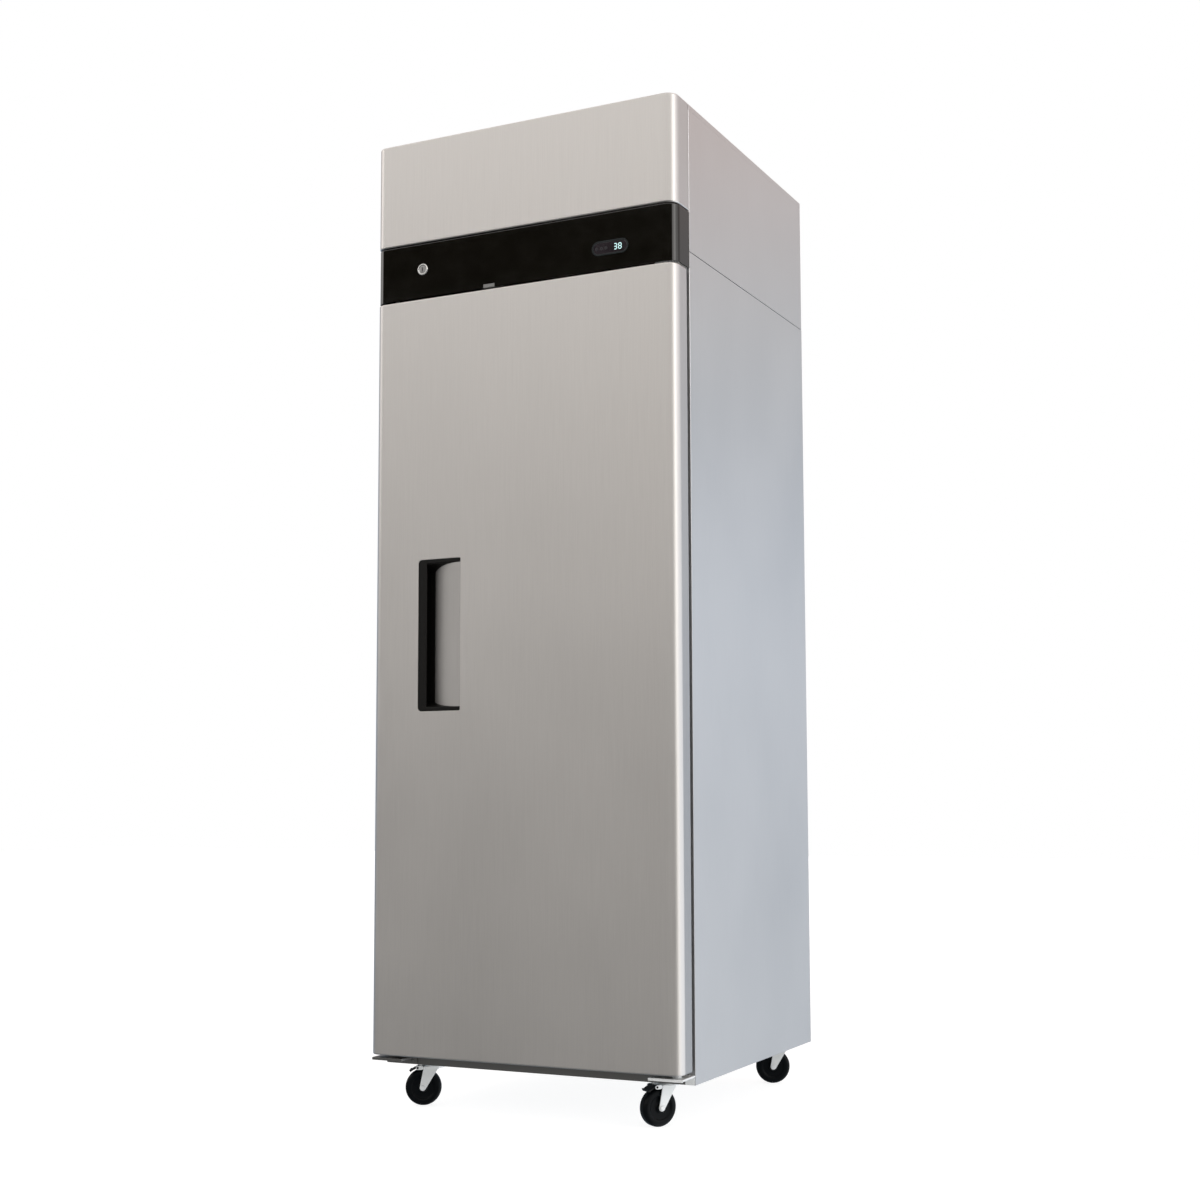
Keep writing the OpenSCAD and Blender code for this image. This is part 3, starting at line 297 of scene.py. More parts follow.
# Colour, roughness, metal, colour variation, grain, roughness variation, relief and its grain, the rest by
# name.
LOOKS = {
    "brushed_front": look((0.64, 0.622, 0.605), 0.35, 1.0, 0.05, BRUSH, 0.05, 0.12, aniso=0.8, turned=0.25),
    "side_steel": look((0.62, 0.62, 0.625), 0.34, 1.0, 0.045, BRUSH, 0.05, 0.12, aniso=0.6),
    # face_steel is darkened well below the other steels. It is painted shade for the shadow that the door's
    # overhang casts on the face frame and the hinge legs.
    "face_steel": look((0.26, 0.255, 0.25), 0.42, 1.0, 0.07, BRUSH, 0.06, 0.12, aniso=0.5),
    "galvanised": look((0.56, 0.575, 0.59), 0.46, 0.9, 0.16, 40, 0.12, 0.25, cells=85, dust=0.15),
    "liner_aluminium": look((0.72, 0.73, 0.735), 0.38, 0.95, 0.05, 300, 0.06, 0.5, 420, cells=240),
    "foam": look((0.74, 0.64, 0.36), 0.9, 0.0, 0.15, 220, 0.05, 0.8, 500, cells=400),
    "strip_black": look((0.0022, 0.0017, 0.0006), 0.08, 0.0, 0.3, 30, 0.03),
    "bezel_dark": look((0.006, 0.009, 0.010), 0.35, 0.0, 0.2, 200, 0.06, 0.1, spec=0.22),
    "display_dark": look((0.009, 0.005, 0.008), 0.1, 0.0, 0.3, 40, 0.03, coat=0.8),
    "key_grey": look((0.02, 0.018, 0.022), 0.45, 0.0, 0.2, 300, 0.06, 0.15, spec=0.3),
    "lock_chrome": look((0.6, 0.6, 0.59), 0.22, 1.0, 0.06, 500, 0.06, 0.05),
    "switch_pale": look((0.16, 0.16, 0.155), 0.5, 0.0, 0.06, 250, 0.08, 0.2),
    "zinc_plate": look((0.80, 0.82, 0.825), 0.46, 0.5, 0.05, 90, 0.1, 0.08, 400),
    "pilaster_steel": look((0.6, 0.61, 0.61), 0.36, 1.0, 0.06, BRUSH, 0.06, 0.08),
    "shelf_coating": look((0.70, 0.715, 0.70), 0.42, 0.0, 0.05, 160, 0.08, 0.15, 500, coat=0.25),
    "gasket_rubber": look((0.055, 0.058, 0.062), 0.55, 0.0, 0.12, 200, 0.08, 0.2),
    "handle_black": look((0.0028, 0.0026, 0.0022), 0.4, 0.0, 0.25, 120, 0.06, 0.35, 1500,
                         cells=1300, spec=0.2),
    "scoop_steel": look((0.36, 0.35, 0.34), 0.5, 0.55, 0.08, BRUSH, 0.06, 0.1),
    "evaporator_aluminium": look((0.66, 0.67, 0.68), 0.35, 1.0, 0.08, 200, 0.08, 0.1),
    "motor_grey": look((0.1, 0.105, 0.11), 0.5, 0.3, 0.15, 150, 0.08, 0.2, dust=0.2),
    "fan_plastic": look((0.02, 0.021, 0.022), 0.4, 0.0, 0.2, 200, 0.08, 0.15),
    "fan_aluminium": look((0.5, 0.51, 0.52), 0.38, 1.0, 0.1, 150, 0.1, 0.1, dust=0.2),
    "lamp_lens": look((0.8, 0.79, 0.74), 0.35, 0.0, 0.04, 120, 0.06, 0.3, (600, 600, 60),
                      glow=((1.0, 0.96, 0.88), 0.35)),
    "compressor_black": look((0.014, 0.014, 0.0145), 0.36, 0.0, 0.25, 60, 0.1, 0.15, 250, dust=0.25),
    "condenser_fins": look((0.5, 0.47, 0.42), 0.4, 1.0, 0.15, 120, 0.1, 0.1, dust=0.3),
    "shroud_black": look((0.022, 0.023, 0.024), 0.48, 0.0, 0.2, 120, 0.08, 0.2, dust=0.3),
    "copper": look((0.76, 0.36, 0.2), 0.32, 1.0, 0.16, 45, 0.1, 0.06),
    "box_grey": look((0.32, 0.335, 0.345), 0.42, 0.2, 0.07, 180, 0.08, 0.15, dust=0.15),
    "gland_black": look((0.012, 0.012, 0.0125), 0.45, 0.0, 0.2, 300, 0.08, 0.2),
    "wheel_rubber": look((0.0014, 0.0022, 0.003), 0.36, 0.0, 0.35, 110, 0.1, 0.25, 420, spec=0.12),
    "pedal_black": look((0.005, 0.005, 0.0055), 0.5, 0.0, 0.2, 300, 0.08, 0.3, spec=0.25),
}
MATS = {slot: surface(slot, *values, **more) for slot, (values, more) in LOOKS.items()}
DIGITS = surface("display_digits", (0.3, 0.45, 0.44), 0.4, 0.0, 0.05, 300, 0.05,
                 glow=((0.66, 1.0, 1.0), 0.95))
LOCK_FACE = surface("lock_face", (0.29, 0.29, 0.285), 0.3, 1.0, 0.1, 700, 0.08, 0.1)

# ---- Shapes ----

def arc(cx, cy, r, a0, a1, steps):
    """Points on a circle, from one angle to the other in degrees."""
    angles = [math.radians(a0 + (a1 - a0) * i / steps) for i in range(steps + 1)]
    return [(cx + r * math.cos(a), cy + r * math.sin(a)) for a in angles]


def rounded_rect(x, y, r, steps=6):
    """Closed outline, anticlockwise; r is one radius or four, from the lower left corner on."""
    a, b, c, d = r if isinstance(r, tuple) else (r,) * 4
    return (arc(x[0] + a, y[0] + a, a, 180, 270, steps) + arc(x[1] - b, y[0] + b, b, 270, 360, steps)
            + arc(x[1] - c, y[1] - c, c, 0, 90, steps) + arc(x[0] + d, y[1] - d, d, 90, 180, steps))


def stadium(cx, cy, w, h, steps=16):
    return arc(cx + (w - h) / 2, cy, h / 2, -90, 90, steps) + arc(cx - (w - h) / 2, cy, h / 2, 90, 270, steps)


def circle(cx, cy, r, steps=32):
    return arc(cx, cy, r, 0, 360, steps)[:-1]


def rectangle(x, y):
    return [(x[0], y[0]), (x[1], y[0]), (x[1], y[1]), (x[0], y[1])]


def anticlockwise(loop, wanted=True):
    area = sum(loop[i - 1][0] * p[1] - p[0] * loop[i - 1][1] for i, p in enumerate(loop))
    return list(loop) if (area > 0) == wanted else list(reversed(loop))


def inset(loop, d):
    """Moves a closed outline by d into the material on its left."""
    out = []
    for i, p in enumerate(loop):
        p, a, b = Vector(p), Vector(loop[i - 1]), Vector(loop[(i + 1) % len(loop)])
        a, b = (p - a).normalized(), (b - p).normalized()
        mitre = (Vector((-a.y, a.x)) + Vector((-b.y, b.x))) / max(1 + a.dot(b), 0.4)
        out.append(tuple(p + mitre * d))
    return out


def bent(points, radius, steps=6, closed=False):
    """Polyline whose corners are rounded."""
    points = [Vector(p) for p in points]
    out = []
    for i, p in enumerate(points):
        if not closed and i in (0, len(points) - 1):
            out.append(p)
            continue
        before, after = points[i - 1], points[(i + 1) % len(points)]
        a, b = (before - p), (after - p)
        turn = (math.pi - a.angle(b)) / 2
        cut = min(radius * math.tan(turn), 0.48 * a.length, 0.48 * b.length)
        start, end = p + a.normalized() * cut, p + b.normalized() * cut
        for k in range(steps + 1):
            t = k / steps
            w = math.cos(turn)
            bottom = (1 - t) ** 2 + 2 * w * t * (1 - t) + t * t
            out.append(((1 - t) ** 2 * start + 2 * w * t * (1 - t) * p + t * t * end) / bottom)
    return out


def facing(u, v, w):
    """Outline in X and Z, depth along Y."""
    return (u, w, v)


def level(u, v, w):
    """Outline in X and Y, height along Z."""
    return (u, v, w)


def sideways(u, v, w):
    """Outline in Y and Z, depth along X."""
    return (w, u, v)


def edge_rings(r, steps=2):
    """Inset and depth of each ring of a rounded edge, from the flat to the wall."""
    angles = [math.pi / 2 * i / steps for i in range(steps + 1)]
    return [(r * (1 - math.sin(a)), r * (1 - math.cos(a))) for a in angles]


class Part:
    """Gathers the geometry of one object, in millimetres."""

    def __init__(self):
        self.bm = bmesh.new()

    def verts(self, points):
        return [self.bm.verts.new(p) for p in points]

    def skin(self, rings, closed=True):
        """Faces between rings of equal length."""
        count = len(rings[0])
        for a, b in zip(rings, rings[1:]):
            for i in range(count if closed else count - 1):
                j = (i + 1) % count
                self.bm.faces.new((a[i], a[j], b[j], b[i]))

    def fill(self, loops):
        """Flat face inside the first loop, with the other loops as holes; gives the new faces."""
        if len(loops) == 1:
            return [self.bm.faces.new(loops[0])]
        edges = []
        for loop in loops:
            for i, v in enumerate(loop):
                edges.append(self.bm.edges.get((loop[i - 1], v)) or self.bm.edges.new((loop[i - 1], v)))
        made = bmesh.ops.triangle_fill(self.bm, edges=edges, use_beauty=True)
        return [f for f in made["geom"] if isinstance(f, bmesh.types.BMFace)]

    def plate(self, outline, span, at=facing, holes=(), edge=0.6, steps=2):
        """Slab with rounded edges between two depths."""
        outlines = [anticlockwise(outline)] + [anticlockwise(h, False) for h in holes]
        lo, hi = span
        edge = min(edge, (hi - lo) / 2.1)
        sections = edge_rings(edge, steps) if edge else [(0, 0)]
        sections = [(d, lo + h) for d, h in sections] + [(d, hi - h) for d, h in reversed(sections)]
        caps = ([], [])
        for loop in outlines:
            rings = [self.verts(at(u, v, w) for u, v in inset(loop, d)) for d, w in sections]
            self.skin(rings)
            caps[0].append(rings[0])
            caps[1].append(rings[-1])
        for cap in caps:
            self.fill(cap)

    def block(self, x, y, z, edge=0.6, steps=2):
        self.plate(rectangle(x, y), z, level, (), edge, steps)

    def lathe(self, profile, centre, axis="z", steps=48, loop=False):
        """Turns (radius, height) points round an axis."""
        spin = {"x": sideways, "y": facing, "z": level}[axis]
        rings = []
        for r, h in profile:
            if r == 0:
                rings.append([self.bm.verts.new(Vector(centre) + Vector(spin(0, 0, h)))])
                continue
            rings.append(self.verts(Vector(centre) + Vector(spin(*p, h)) for p in circle(0, 0, r, steps)))
        pairs = list(zip(rings, rings[1:])) + ([(rings[-1], rings[0])] if loop else [])
        for a, b in pairs:
            for i in range(steps):
                j = (i + 1) % steps
                if len(a) == 1 and len(b) == 1:
                    break
                if len(a) == 1:
                    self.bm.faces.new((a[0], b[j], b[i]))
                elif len(b) == 1:
                    self.bm.faces.new((a[i], a[j], b[0]))
                else:
                    self.bm.faces.new((a[i], a[j], b[j], b[i]))
        if not loop:
            for ring in (rings[0], rings[-1]):
                if len(ring) > 1:
                    self.bm.faces.new(ring)

    def tube(self, points, r, steps=10, closed=False):
        """Round bar or pipe along a path; r may be one radius or one per point."""
        points = [Vector(p) for p in points]
        count = len(points)
        radii = r if isinstance(r, (list, tuple)) else [r] * count
        rings = []
        side = None
        for i, p in enumerate(points):
            before = points[i - 1] if closed or i else p
            after = points[(i + 1) % count] if closed or i < count - 1 else p
            run = (after - before).normalized()
            if side is None:
                side = run.orthogonal().normalized()
            side = (side - run * side.dot(run)).normalized()
            other = run.cross(side)
            rings.append(self.verts(p + (side * c + other * s) * radii[i] for c, s in circle(0, 0, 1, steps)))
        self.skin(rings)
        if closed:
            self.skin([rings[-1], rings[0]])
        else:
            self.bm.faces.new(rings[0])
            self.bm.faces.new(rings[-1])

    def sheet(self, path, t, span, at=level, radius=2.2, edge=0.25):
        """Bent sheet metal: a path with rounded corners, thickened to its left, between two depths."""
        line = [Vector((*p, 0)) for p in path]
        outer = bent(line, radius, 4)
        normals = []
        for i, p in enumerate(outer):
            a = outer[max(i - 1, 0)]
            b = outer[min(i + 1, len(outer) - 1)]
            run = (b - a).normalized()
            normals.append(Vector((-run.y, run.x, 0)))
        inner = [p + n * t for p, n in zip(outer, normals)]
        self.plate([(p.x, p.y) for p in outer + list(reversed(inner))], span, at, (),
                   min(edge, abs(t) * 0.35), 1)

    def screw(self, place, axis, r=4.0, h=2.2, out=1):
        """Pan head with a rim; out is the way the head points along the axis."""
        profile = [(r, 0), (r, h * 0.35), (r * 0.86, h * 0.75), (r * 0.5, h), (r * 0.3, h),
                   (r * 0.24, h * 0.45), (0, h * 0.45)]
        self.lathe([(a, b * out) for a, b in profile], place, axis, 16)

    def done(self, name, body, slot, nodes=(), sharp=38, solid=0.0, mat=None, turn=None):
        """Makes the Blender object, which rides on a body; solid thickens a skin, and sharp is an angle."""
        bm = self.bm
        if turn is not None:
            bmesh.ops.transform(bm, matrix=turn, verts=bm.verts)
        bmesh.ops.scale(bm, vec=(MM,) * 3, verts=bm.verts)
        bmesh.ops.recalc_face_normals(bm, faces=bm.faces)
        mesh = bpy.data.meshes.new(name)
        bm.to_mesh(mesh)
        bm.free()
        for face in mesh.polygons:
            face.use_smooth = True
        mesh.set_sharp_from_angle(angle=math.radians(sharp))
        piece = bpy.data.objects.new(name, mesh)
        scene.collection.objects.link(piece)
        mesh.materials.append(mat or MATS[slot])
        if solid:
            wall = piece.modifiers.new("wall", "SOLIDIFY")
            wall.thickness = solid * MM
            wall.offset = -1
            rim = piece.modifiers.new("rim", "EDGE_SPLIT")
            rim.split_angle = math.radians(sharp)
        even = piece.modifiers.new("even", "WEIGHTED_NORMAL")
        even.keep_sharp = True
        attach(piece, body)
        if nodes:
            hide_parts(*([nodes] if isinstance(nodes, str) else nodes))
        return piece


# ---- Folded fronts: cover, strip and door share one shape ----

CORNER_R = 24
LEAD = 0.8                 # flat margin beside a bend, which keeps the big faces flat in shading


def front_plan(half, y0, y1, d, steps=10):
    r = CORNER_R - d
    left = arc(-half + CORNER_R, y0 + CORNER_R, r, 180, 270, steps)
    right = arc(half - CORNER_R, y0 + CORNER_R, r, 270, 360, steps)
    turn_y = y0 + CORNER_R + LEAD
    flat_x = half - CORNER_R - LEAD
    return ([(-half + d, y1), (-half + d, turn_y)] + left + [(-flat_x, y0 + d), (flat_x, y0 + d)]
            + right + [(half - d, turn_y), (half - d, y1)])


def folded_front(part, half, y, z, bend, holes=(), notch=(), bottom="cap", cap_holes=((), ()), rear=()):
    """Sheet bent round both front corners, with rolled edges above and, unless it is open, below.

    bottom is cap, open or the width of a hem. holes are (outline, lip radius, depth) in the front, and
    cap_holes are outlines in the lower and upper caps. notch is a run of points in the front's lower edge,
    and rear is one in the top's back edge.
    """
    roll = edge_rings(bend, 3)
    levels = []
    if bottom != "open":
        if bottom != "cap":
            levels.append((bottom, z[0]))
        levels.append((bend + LEAD, z[0]))
        levels += [(d, z[0] + h) for d, h in roll]
        levels.append((0, z[0] + bend + LEAD))
    else:
        levels.append((0, z[0]))
    flat_lo = len(levels) - 1
    levels.append((0, z[1] - bend - LEAD))
    levels += [(d, z[1] - h) for d, h in reversed(roll)]
    levels.append((bend + LEAD, z[1]))
    plans = [[(x, yy, h) for x, yy in front_plan(half, y[0], y[1], d)] for d, h in levels]
    rings = [part.verts(p) for p in plans]
    count = len(rings[0])
    mid = count // 2 - 1
    for j, (a, b) in enumerate(zip(rings, rings[1:])):
        for i in range(count - 1):
            if i == mid and j == flat_lo and (holes or notch):
                continue
            part.bm.faces.new((a[i], a[i + 1], b[i + 1], b[i]))
    if holes or notch:
        a, b = rings[flat_lo], rings[flat_lo + 1]
        frame_loop = [a[mid]] + part.verts((x, y[0], h) for x, h in notch) + [a[mid + 1], b[mid + 1], b[mid]]
        loops = [frame_loop]
        for outline, lip, depth in holes:
            outline = anticlockwise(outline, False)
            sections = [(d, y[0] + h) for d, h in edge_rings(lip, 3)] + [(0, y[0] + depth)]
            lips = [part.verts((u, w, v) for u, v in inset(outline, d)) for d, w in sections]
            part.skin(lips)
            loops.append(lips[0])
        part.fill(loops)
    if bottom == "cap":
        holes_lo = [part.verts((u, v, z[0]) for u, v in h) for h in cap_holes[0]]
        part.fill([rings[0]] + holes_lo)
    last = rings[-1] + part.verts((x, yy, z[1]) for x, yy in rear)
    part.fill([last] + [part.verts((u, v, z[1]) for u, v in h) for h in cap_holes[1]])


DOOR_X, DOOR_Y, DOOR_Z = box_mm("door_skin")
HALF = DOOR_X[1]
_, COVER_Y, COVER_Z = box_mm("front_cover")
_, STRIP_Y, STRIP_Z = box_mm("control_strip")
FACE_Y = STRIP_Y[1]
HANDLE_X, _, HANDLE_Z = box_mm("handle_frame")
LOCK_X, LOCK_Y, LOCK_Z = box_mm("lock_housing")
WINDOW_X, _, WINDOW_Z = box_mm("display_window")
SWITCH_X, SWITCH_Y, SWITCH_Z = box_mm("door_switch_body")
PIN_X, PIN_Y = HALF - 22, DOOR_Y[0] + 35      # the door's hinge pins
LOCK_AT = (middle(LOCK_X), middle(LOCK_Z))
WINDOW_AT = (middle(WINDOW_X), middle(WINDOW_Z))
SKIN_BEND = 2.4            # rolled edges of the door's skin and of the cover
SHEET, SHEET_BEND = 1.0, 1.1


def handle_outline():
    return rounded_rect(HANDLE_X, HANDLE_Z, (8, 3, 3, 8), 6)


def make_door():
    door = Part()
    cam_slot = rectangle((LOCK_AT[0] - 10, LOCK_AT[0] + 50), (DOOR_Y[0] + 26, DOOR_Y[0] + 35))
    pin_hole = circle(PIN_X, PIN_Y, 5.1, 24)
    folded_front(door, HALF, DOOR_Y, DOOR_Z, SKIN_BEND, holes=[(handle_outline(), 0.9, 3.0)],
                 cap_holes=([pin_hole], [pin_hole, cam_slot]))
    door.done("door_shell", "door", "brushed_front", "door_skin")

    x, y, z = box_mm("door_liner")
    pad_x, pad_z = HALF - 62, (DOOR_Z[0] + 48, DOOR_Z[1] - 46)
    liner = Part()
    levels = [(0.0, 0.0), (0.0, 0.6), (0.4, 1.0)]
    rings = [rounded_rect((x[0] + d, x[1] - d), (z[0] + d, z[1] - d), 0.6, 6) for d, _ in levels]
    depths = [y[0] + h for _, h in levels]
    # inset, corner radius and height of each ring of the raised pad
    pad = [(0, 22, 1.0), (1.6, 20.5, 1.3), (3.2, 19, 3.0), (5.4, 17, 7.6), (7.2, 15.5, 9.4), (9, 14, 10.0),
           (26, 10, 10.0), (28, 9, 9.6), (31, 8, 7.6), (33, 7, 7.2)]
    for d, r, h in pad:
        rings.append(rounded_rect((-pad_x + d, pad_x - d), (pad_z[0] + d, pad_z[1] - d), r, 6))
        depths.append(y[0] + h)
    rows = [liner.verts((u, w, v) for u, v in ring) for ring, w in zip(rings, depths)]
    liner.skin(rows)
    liner.fill([rows[-1]])
    liner.done("door_back", "door", "liner_aluminium", "door_liner")

    gx, gy, gz = box_mm("door_gasket")
    # distance inwards and height of the bellows' outline
    profile = [(0.6, 0), (0, 0.8), (0.8, 2.6), (3, 3.8), (6.8, 4.4), (5.4, 5.8), (7.8, 7.2), (5.6, 8.4),
               (3.3, 9.4), (3, 11.2), (3.6, 13.6), (5.6, 14.6), (12.2, 14.6), (13, 14.0), (13.8, 14.6),
               (20.4, 14.6), (22.4, 13.6), (23, 11.2), (22.7, 9.4), (20.4, 8.4), (18.2, 7.2), (20.6, 5.8),
               (19.2, 4.4), (23, 3.8), (25.2, 2.6), (26, 0.8), (25.4, 0)]
    gasket = Part()
    corners = []
    for sx, sz in ((-1, -1), (1, -1), (1, 1), (-1, 1)):
        edge_x, edge_z = gx[sx > 0], gz[sz > 0]
        corners.append(gasket.verts((edge_x - sx * u, gy[0] + h, edge_z - sz * u) for u, h in profile))
    gasket.skin(corners + [corners[0]])
    gasket.done("gasket_bellows", "door", "gasket_rubber", "door_gasket", sharp=50)


def make_handle():
    x, z = HANDLE_X, HANDLE_Z
    y0 = DOOR_Y[0]
    grip, wall = 20, 8              # width of the upright and of the two ends
    deep = y0 + 32                  # deepest level of the recess
    scoop_x = x[0] + 22
    frame_part = Part()
    turn_x = x[0] + grip + 3
    inner = [(x[1], z[0] + wall), (turn_x, z[0] + wall)] + arc(turn_x, z[0] + wall + 3, 3, 270, 180, 5)
    inner += arc(turn_x, z[1] - wall - 3, 3, 180, 90, 5) + [(x[1], z[1] - wall)]
    outer = arc(x[1] - 3, z[1] - 3, 3, 0, 90, 5) + arc(x[0] + 8, z[1] - 8, 8, 90, 180, 6)
    outer += arc(x[0] + 8, z[0] + 8, 8, 180, 270, 6) + arc(x[1] - 3, z[0] + 3, 3, 270, 360, 5)
    frame_part.plate(inner + outer, (y0 + 0.1, y0 + 4), edge=1.3, steps=3)
    a, b = Vector((x[1], y0 + 0.6)), Vector((scoop_x, deep))
    radius, scoop_t = 110.0, 1.2
    half_len = (b - a).length / 2
    along = (b - a).normalized()
    centre = (a + b) / 2 + Vector((along.y, -along.x)) * math.sqrt(radius ** 2 - half_len ** 2)

    def curve(shrink, steps=20):
        a0, a1 = (math.degrees(math.atan2(*reversed(p - centre))) for p in (a, b))
        return arc(*centre, radius - shrink, a0, a1, steps)

    def slope(w):
        """How far towards the recess's deepest level a depth is."""
        return (w - y0 + 1) / (deep - y0 + 1)

    def floor_z(w):
        return z[0] + wall + 12 * slope(w)

    def ceiling_z(w):
        return z[1] - wall - 14 * slope(w)

    end_plan = [(x[0] + 1, y0 + 3), (x[0] + 1, deep + 2.9), (scoop_x, deep + 2.9)]
    end_plan += list(reversed(curve(scoop_t))) + [(x[1] - 3, y0 + 0.3)]
    for end_z, recess_z in ((z[0] + 1, floor_z), (z[1] - 1, ceiling_z)):
        frame_part.plate(end_plan, (0, 1), lambda u, v, w: (u, v, end_z + w * (recess_z(v) - end_z)), (), 0)
    frame_part.block((x[0] + 1, x[0] + 4), (y0 + 3.9, deep + 3), (z[0] + 1, z[1] - 1), 0.4)
    frame_part.block((x[0] + 1, scoop_x), (deep, deep + 3), (z[0] + 1, z[1] - 1), 0.4)
    frame_part.done("handle_frame_moulding", "door", "handle_black", "handle_frame")
    scoop = Part()
    scoop.plate(curve(0) + list(reversed(curve(scoop_t))), (0, 1),
                lambda u, v, w: (u, v, floor_z(v) + w * (ceiling_z(v) - floor_z(v))), (), 0)
    scoop.done("handle_scoop_sheet", "door", "scoop_steel", "handle_scoop")


def stroke_outline(stroke, cx, cz):
    """One stroke of a seven-segment digit."""
    half_w, half_h, thick = 3.0, 5.6, 0.75
    places = {"a": (0, half_h), "g": (0, 0), "d": (0, -half_h), "b": (half_w, half_h / 2),
              "c": (half_w, -half_h / 2), "e": (-half_w, -half_h / 2), "f": (-half_w, half_h / 2)}
    x, z = cx + places[stroke][0], cz + places[stroke][1]
    flat = stroke in "adg"
    far = (half_w if flat else half_h / 2) - 0.35
    bar = [(-far, 0), (-far + thick, -thick), (far - thick, -thick), (far, 0), (far - thick, thick),
           (-far + thick, thick)]
    return [(x + u, z + v) if flat else (x - v, z + u) for u, v in bar]


def make_strip():
    strip = Part()
    notch_x, notch_h = (SWITCH_X[0] - 0.3, SWITCH_X[1] + 0.3), 8
    notch = [(notch_x[0], STRIP_Z[0]), (notch_x[0], STRIP_Z[0] + notch_h), (notch_x[1], STRIP_Z[0] + notch_h),
             (notch_x[1], STRIP_Z[0])]
    lip_r, lip_deep = 0.4, 0.6
    holes = [(circle(*LOCK_AT, 11, 40), lip_r, lip_deep), (stadium(*WINDOW_AT, 76, 25), lip_r, lip_deep)]
    folded_front(strip, HALF, STRIP_Y, STRIP_Z, 1.4, holes=holes, notch=notch, bottom="open")
    strip.done("strip_moulding", "cabinet", "strip_black", "control_strip", solid=2.8)

    bezel = Part()
    w, h = (WINDOW_X[1] - WINDOW_X[0]), (WINDOW_Z[1] - WINDOW_Z[0])
    y = STRIP_Y[0]
    opening = [stadium(*WINDOW_AT, w + 0.2, h + 0.2, 20)]
    bezel.plate(stadium(*WINDOW_AT, w + 7.2, h + 7.2, 20), (y - 1, y + 0.2), holes=opening, edge=0.5, steps=3)
    bezel.plate(stadium(*WINDOW_AT, w + 1.8, h + 1.8, 20), (y + 0.2, y + 8), holes=opening, edge=0.1, steps=1)
    bezel.done("display_bezel_ring", "cabinet", "bezel_dark", "controller_bezel")

    window = Part()
    key_boxes = [box_mm(n) for n in ("key_set", "key_up", "key_down")]
    keys_at = [(middle(b[0]), middle(b[2])) for b in key_boxes]
    window.plate(stadium(*WINDOW_AT, w, h, 20), (y - 0.5, y + 3),
                 holes=[circle(*k, 3.3, 20) for k in keys_at], edge=0.3)
    window.done("display_lens", "cabinet", "display_dark", "display_window")

    for word, (kx, kz) in zip(("set", "up", "down"), keys_at):
        key = Part()
        key.lathe([(0, -1.1), (1.6, -1.15), (2.5, -0.9), (2.95, -0.3), (3, 5), (4.4, 5.1), (4.4, 7), (3, 7.1),
                   (2.8, 8), (0, 8)],
                  (kx, y, kz), "y", 28)
        key.done(f"key_{word}_cap", f"{word}_key", "key_grey", f"key_{word}")

    digits = Part()
    for strokes, cx in (("abcdg", WINDOW_AT[0] + 12), ("abcdefg", WINDOW_AT[0] + 22)):      # 3 and 8
        for stroke in strokes:
            digits.plate(stroke_outline(stroke, cx, WINDOW_AT[1]), (y - 0.62, y - 0.45), edge=0.05, steps=1)
    digits.done("display_digits", "cabinet", "display_dark", mat=DIGITS)


def make_lock():
    x, z = LOCK_AT
    y = LOCK_Y[0]
    ring = Part()
    ring.lathe([(8.06, 3), (8.06, 1.4), (8.5, 0.7), (9.4, 0.25), (10.4, 0.0), (11.4, 0.15), (12.2, 0.7),
                (12.5, 1.5), (12.5, 2.0), (10.9, 2.0), (10.9, 24), (8.06, 24)], (x, y, z), "y", 64, loop=True)
    ring.done("lock_ring", "cabinet", "lock_chrome", "lock_housing")
    plug = Part()
    key_way = [(x - 0.9, z - 4.5), (x + 0.9, z - 4.5), (x + 0.9, z - 1.2), (x + 1.5, z - 0.6),
               (x + 1.5, z + 0.6), (x + 0.9, z + 1.2), (x + 0.9, z + 4.5), (x - 0.9, z + 4.5)]
    plug.plate(circle(x, z, 8, 48), (y + 0.6, y + 9), holes=[key_way], edge=0.5)
    cam_y = box_mm("lock_cam")[1]
    plug.lathe([(0, 9), (8, 9), (8, cam_y[0] - y), (0, cam_y[0] - y)], (x, y, z), "y", 48)
    plug.done("lock_plug", "lock", "lock_chrome", "lock_cylinder", mat=LOCK_FACE)
    cam = Part()
    reach = box_mm("lock_cam")[0][1]
    cam.plate(arc(reach - 6, z, 6, -90, 90, 10) + arc(x, z, 9.5, 39, 321, 30), cam_y,
              holes=[circle(x, z, 2.4, 20)], edge=0.4)
    cam.lathe([(5.4, 0), (5.4, 2.4), (4.8, 3.0), (0, 3.0)], (x, cam_y[1], z), "y", 6)
    cam.done("lock_cam_plate", "lock", "zinc_plate", "lock_cam")


def make_switch():
    x, y, z = SWITCH_X, SWITCH_Y, SWITCH_Z
    body = Part()
    px, py, pz = box_mm("door_switch_plunger")
    px, py = middle(px), middle(py)
    bore, step_z = [circle(px, py, 4.1, 24)], z[0] + 7.4
    body.plate(rounded_rect(x, y, 1.2, 3), (z[0], step_z), level, bore, 0.5)
    body.plate(rounded_rect((x[0] + 2, x[1] - 2), (y[0] + 3, y[1]), 1.0, 3), (step_z, z[1]), level, bore, 0.5)
    body.done("switch_case", "cabinet", "switch_pale", "door_switch_body")
    plunger = Part()
    plunger.lathe([(0, pz[0]), (1.4, pz[0] + 0.15), (2.8, pz[0] + 0.6), (3.8, pz[0] + 1.8), (4, pz[0] + 3),
                   (4, pz[1]), (0, pz[1])],
                  (px, py, 0), "z", 28)
    plunger.done("switch_button", "switch_plunger", "switch_pale", "door_switch_plunger")


